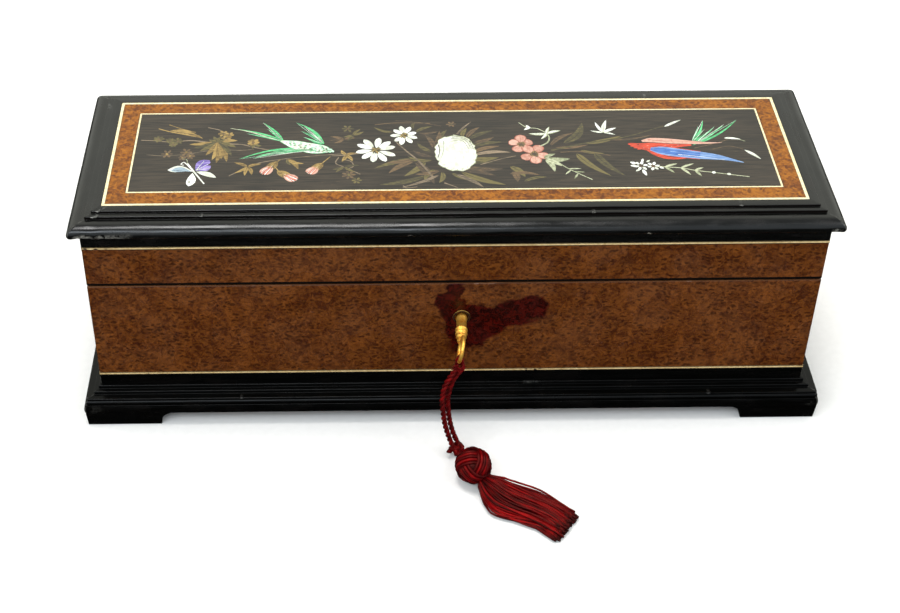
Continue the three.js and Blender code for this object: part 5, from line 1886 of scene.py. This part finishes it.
def cut_for_lock():
    """The mortise for the lock's case and top plate, the keyhole, and the seat of the link plate."""
    case_low, case_high = low("lock_case"), high("lock_case")
    case_y = (case_low.y - MIDDLE_Y - RUNNING_GAP, case_high.y - MIDDLE_Y + 3)
    plate_x = widened(case_low.x, case_high.x)
    mortise_x = widened(KEYHOLE_X - MORTISE_HALF, KEYHOLE_X + MORTISE_HALF)
    cut_away(WALLS["front"], [
        cutter(mortise_x, case_y, (case_low.z - RUNNING_GAP, WALL_TOP + 1)),
        cutter(plate_x, case_y, (LEAF_FOOT - RUNNING_GAP, WALL_TOP + 1)),
        pushed_through(keyhole_outline(), WALL_INNER - 1, WALL_FACE + 1),
        pushed_through(keyhole_outline(1, 0.1), WALL_FACE - 1.4, WALL_FACE + 1),
    ])
    cut_away(RIMS["front"], [cutter(plate_x, case_y, (RIM_FOOT - 1, LEAF_TOP + RUNNING_GAP))])


def hinge_rooms():
    """The room that the two hinges need in the back wall and the back of the rim."""
    rooms = []
    for hinge in HINGES:
        gap = Vector((RUNNING_GAP,) * 3)
        corner, opposite = low(f"{hinge}_box_leaf") - gap, high(f"{hinge}_lid_leaf") + gap
        outer = opposite.y - MIDDLE_Y
        leaf_y = (corner.y - MIDDLE_Y, outer + 1)
        rooms.append(cutter((corner.x, opposite.x), leaf_y, widened(LEAF_FOOT, LEAF_TOP)))
        pin_y = (low(f"{hinge}_pin").y + high(f"{hinge}_pin").y) / 2 - MIDDLE_Y
        pin_z = (WALL_TOP + RIM_FOOT) / 2
        barrel = [(outer - pin_y, end) for end in (corner.x, opposite.x)]
        rooms.append(lathe(barrel, 24, lambda x, reach, z: (reach, pin_y + x, pin_z + z)))
    return rooms


def hinge_leaf(node, body, face, direction):
    """A hinge leaf with its screws, which stand a hair proud of the leaf's face."""
    obj = carried(node, body, BRASS, "brass", f"{node}_piece", 0.15)
    middle = (low(node).x + high(node).x) / 2
    row = low(node).y - MIDDLE_Y + SCREW_ROW
    head = [(SCREW_RADIUS, -0.3), (SCREW_RADIUS, 0.02), (SCREW_RADIUS - 0.1, 0.08), (0.3, 0.1)]
    mesh = bmesh.new()
    mesh.from_mesh(obj.data)
    for spot in SCREW_SPOTS:
        def on_leaf(x, lift, y):
            return middle + spot + x, row + y, face + direction * lift

        points, faces = lathe(head, 20, on_leaf)
        verts = [mesh.verts.new(place(p)) for p in points]
        for corners in faces:
            mesh.faces.new([verts[k] for k in corners])
    bmesh.ops.recalc_face_normals(mesh, faces=list(mesh.faces))
    mesh.to_mesh(obj.data)
    mesh.free()
    sharpen(obj, 40)


cut_for_lock()
cut_away(WALLS["back"], hinge_rooms())
cut_away(RIMS["back"], hinge_rooms())
for whole_node, whole_body, whole_finish, whole_slot, whole_ease in (
    ("bottom_board", "box", CARCASS, "carcass_wood", 0.4),
    ("lid_board", "lid", CARCASS, "carcass_wood", 0.3),
    ("lock_case", "box", BRASS, "brass", 0.25),
    ("lock_link_plate", "lid", BRASS, "brass", 0.2),
):
    carried(whole_node, whole_body, whole_finish, whole_slot, f"{whole_node}_piece", whole_ease)
for hinge_name in HINGES:
    hinge_leaf(f"{hinge_name}_box_leaf", "box", WALL_TOP, 1)
    hinge_leaf(f"{hinge_name}_lid_leaf", "lid", RIM_FOOT, -1)
    carried(f"{hinge_name}_pin", "box", STEEL, "steel", f"{hinge_name}_pin_piece", 0.1)


# ---------------------------------------------------------------- floor and lights
def make_floor():
    corners = [(x, y, 0) for x, y in ((-1, -1), (1, -1), (1, 1), (-1, 1))]
    mesh = bpy.data.meshes.new("floor")
    mesh.from_pydata([Vector(corner) * FLOOR_HALF for corner in corners], [], [(0, 1, 2, 3)])
    floor = add_object("floor", mesh)
    finish = Finish("floor_paper")
    colour = finish.ramp(finish.noise(300, 2), (0.3, (0.93, 0.9, 0.87, 1)), (0.7, (0.96, 0.93, 0.9, 1)))
    mesh.materials.append(finish.surface(colour, 0.9, Specular_IOR_Level=0.1))
    floor.visible_glossy = False


def make_world():
    """Soft light all round: white behind, bluish in front, darker straight overhead, dim below."""
    world = bpy.data.worlds.new("studio")
    bpy.context.scene.world = world
    world.use_nodes = True
    sky = Nodes(world.node_tree, "Generated")
    parts = sky.node("SeparateXYZ", {"Vector": sky.place})
    colour = (0.74, 0.82, 0.88, 1)
    behind = sky.span(parts.outputs["Y"], -0.5, 0.4, interpolation="LINEAR")
    colour = sky.mix(behind, colour, (0.98, 1, 0.9, 1))
    overhead = sky.span(parts.outputs["Z"], 0.72, 0.95, interpolation="LINEAR")
    colour = sky.mix(overhead, colour, (0.42, 0.44, 0.45, 1))
    above = sky.span(parts.outputs["Z"], -0.15, 0.12, interpolation="LINEAR")
    colour = sky.mix(above, (0.02, 0.02, 0.02, 1), colour)
    background = world.node_tree.nodes["Background"]
    sky.feed(background.inputs["Color"], colour)
    sky.feed(background.inputs["Strength"], 1.08)


def area_light(name, where, aim, size, power, colour):
    data = bpy.data.lights.new(name, "AREA")
    data.shape = "RECTANGLE"
    data.size, data.size_y = size
    data.energy = power
    data.color = colour
    light = add_object(name, data)
    light.location = where
    light.rotation_euler = (Vector(aim) - Vector(where)).to_track_quat("-Z", "Y").to_euler()


make_floor()
make_world()
area_light("key_light", (-0.15, 0.02, 1.4), (0, 0, 0.05), (0.5, 0.45), 9, (1, 0.99, 0.97))
area_light("window_light", (-0.5, -0.95, 1.15), (-0.1, 0, 0.08), (1.3, 0.4), 9, (0.86, 0.94, 1))
area_light("fill_light", (0.9, -0.3, 1), (0, 0, 0.05), (0.8, 0.8), 4, (0.98, 0.99, 1))
bpy.context.scene.view_settings.view_transform = "Standard"

declare_strands(HITCH, HANGING)
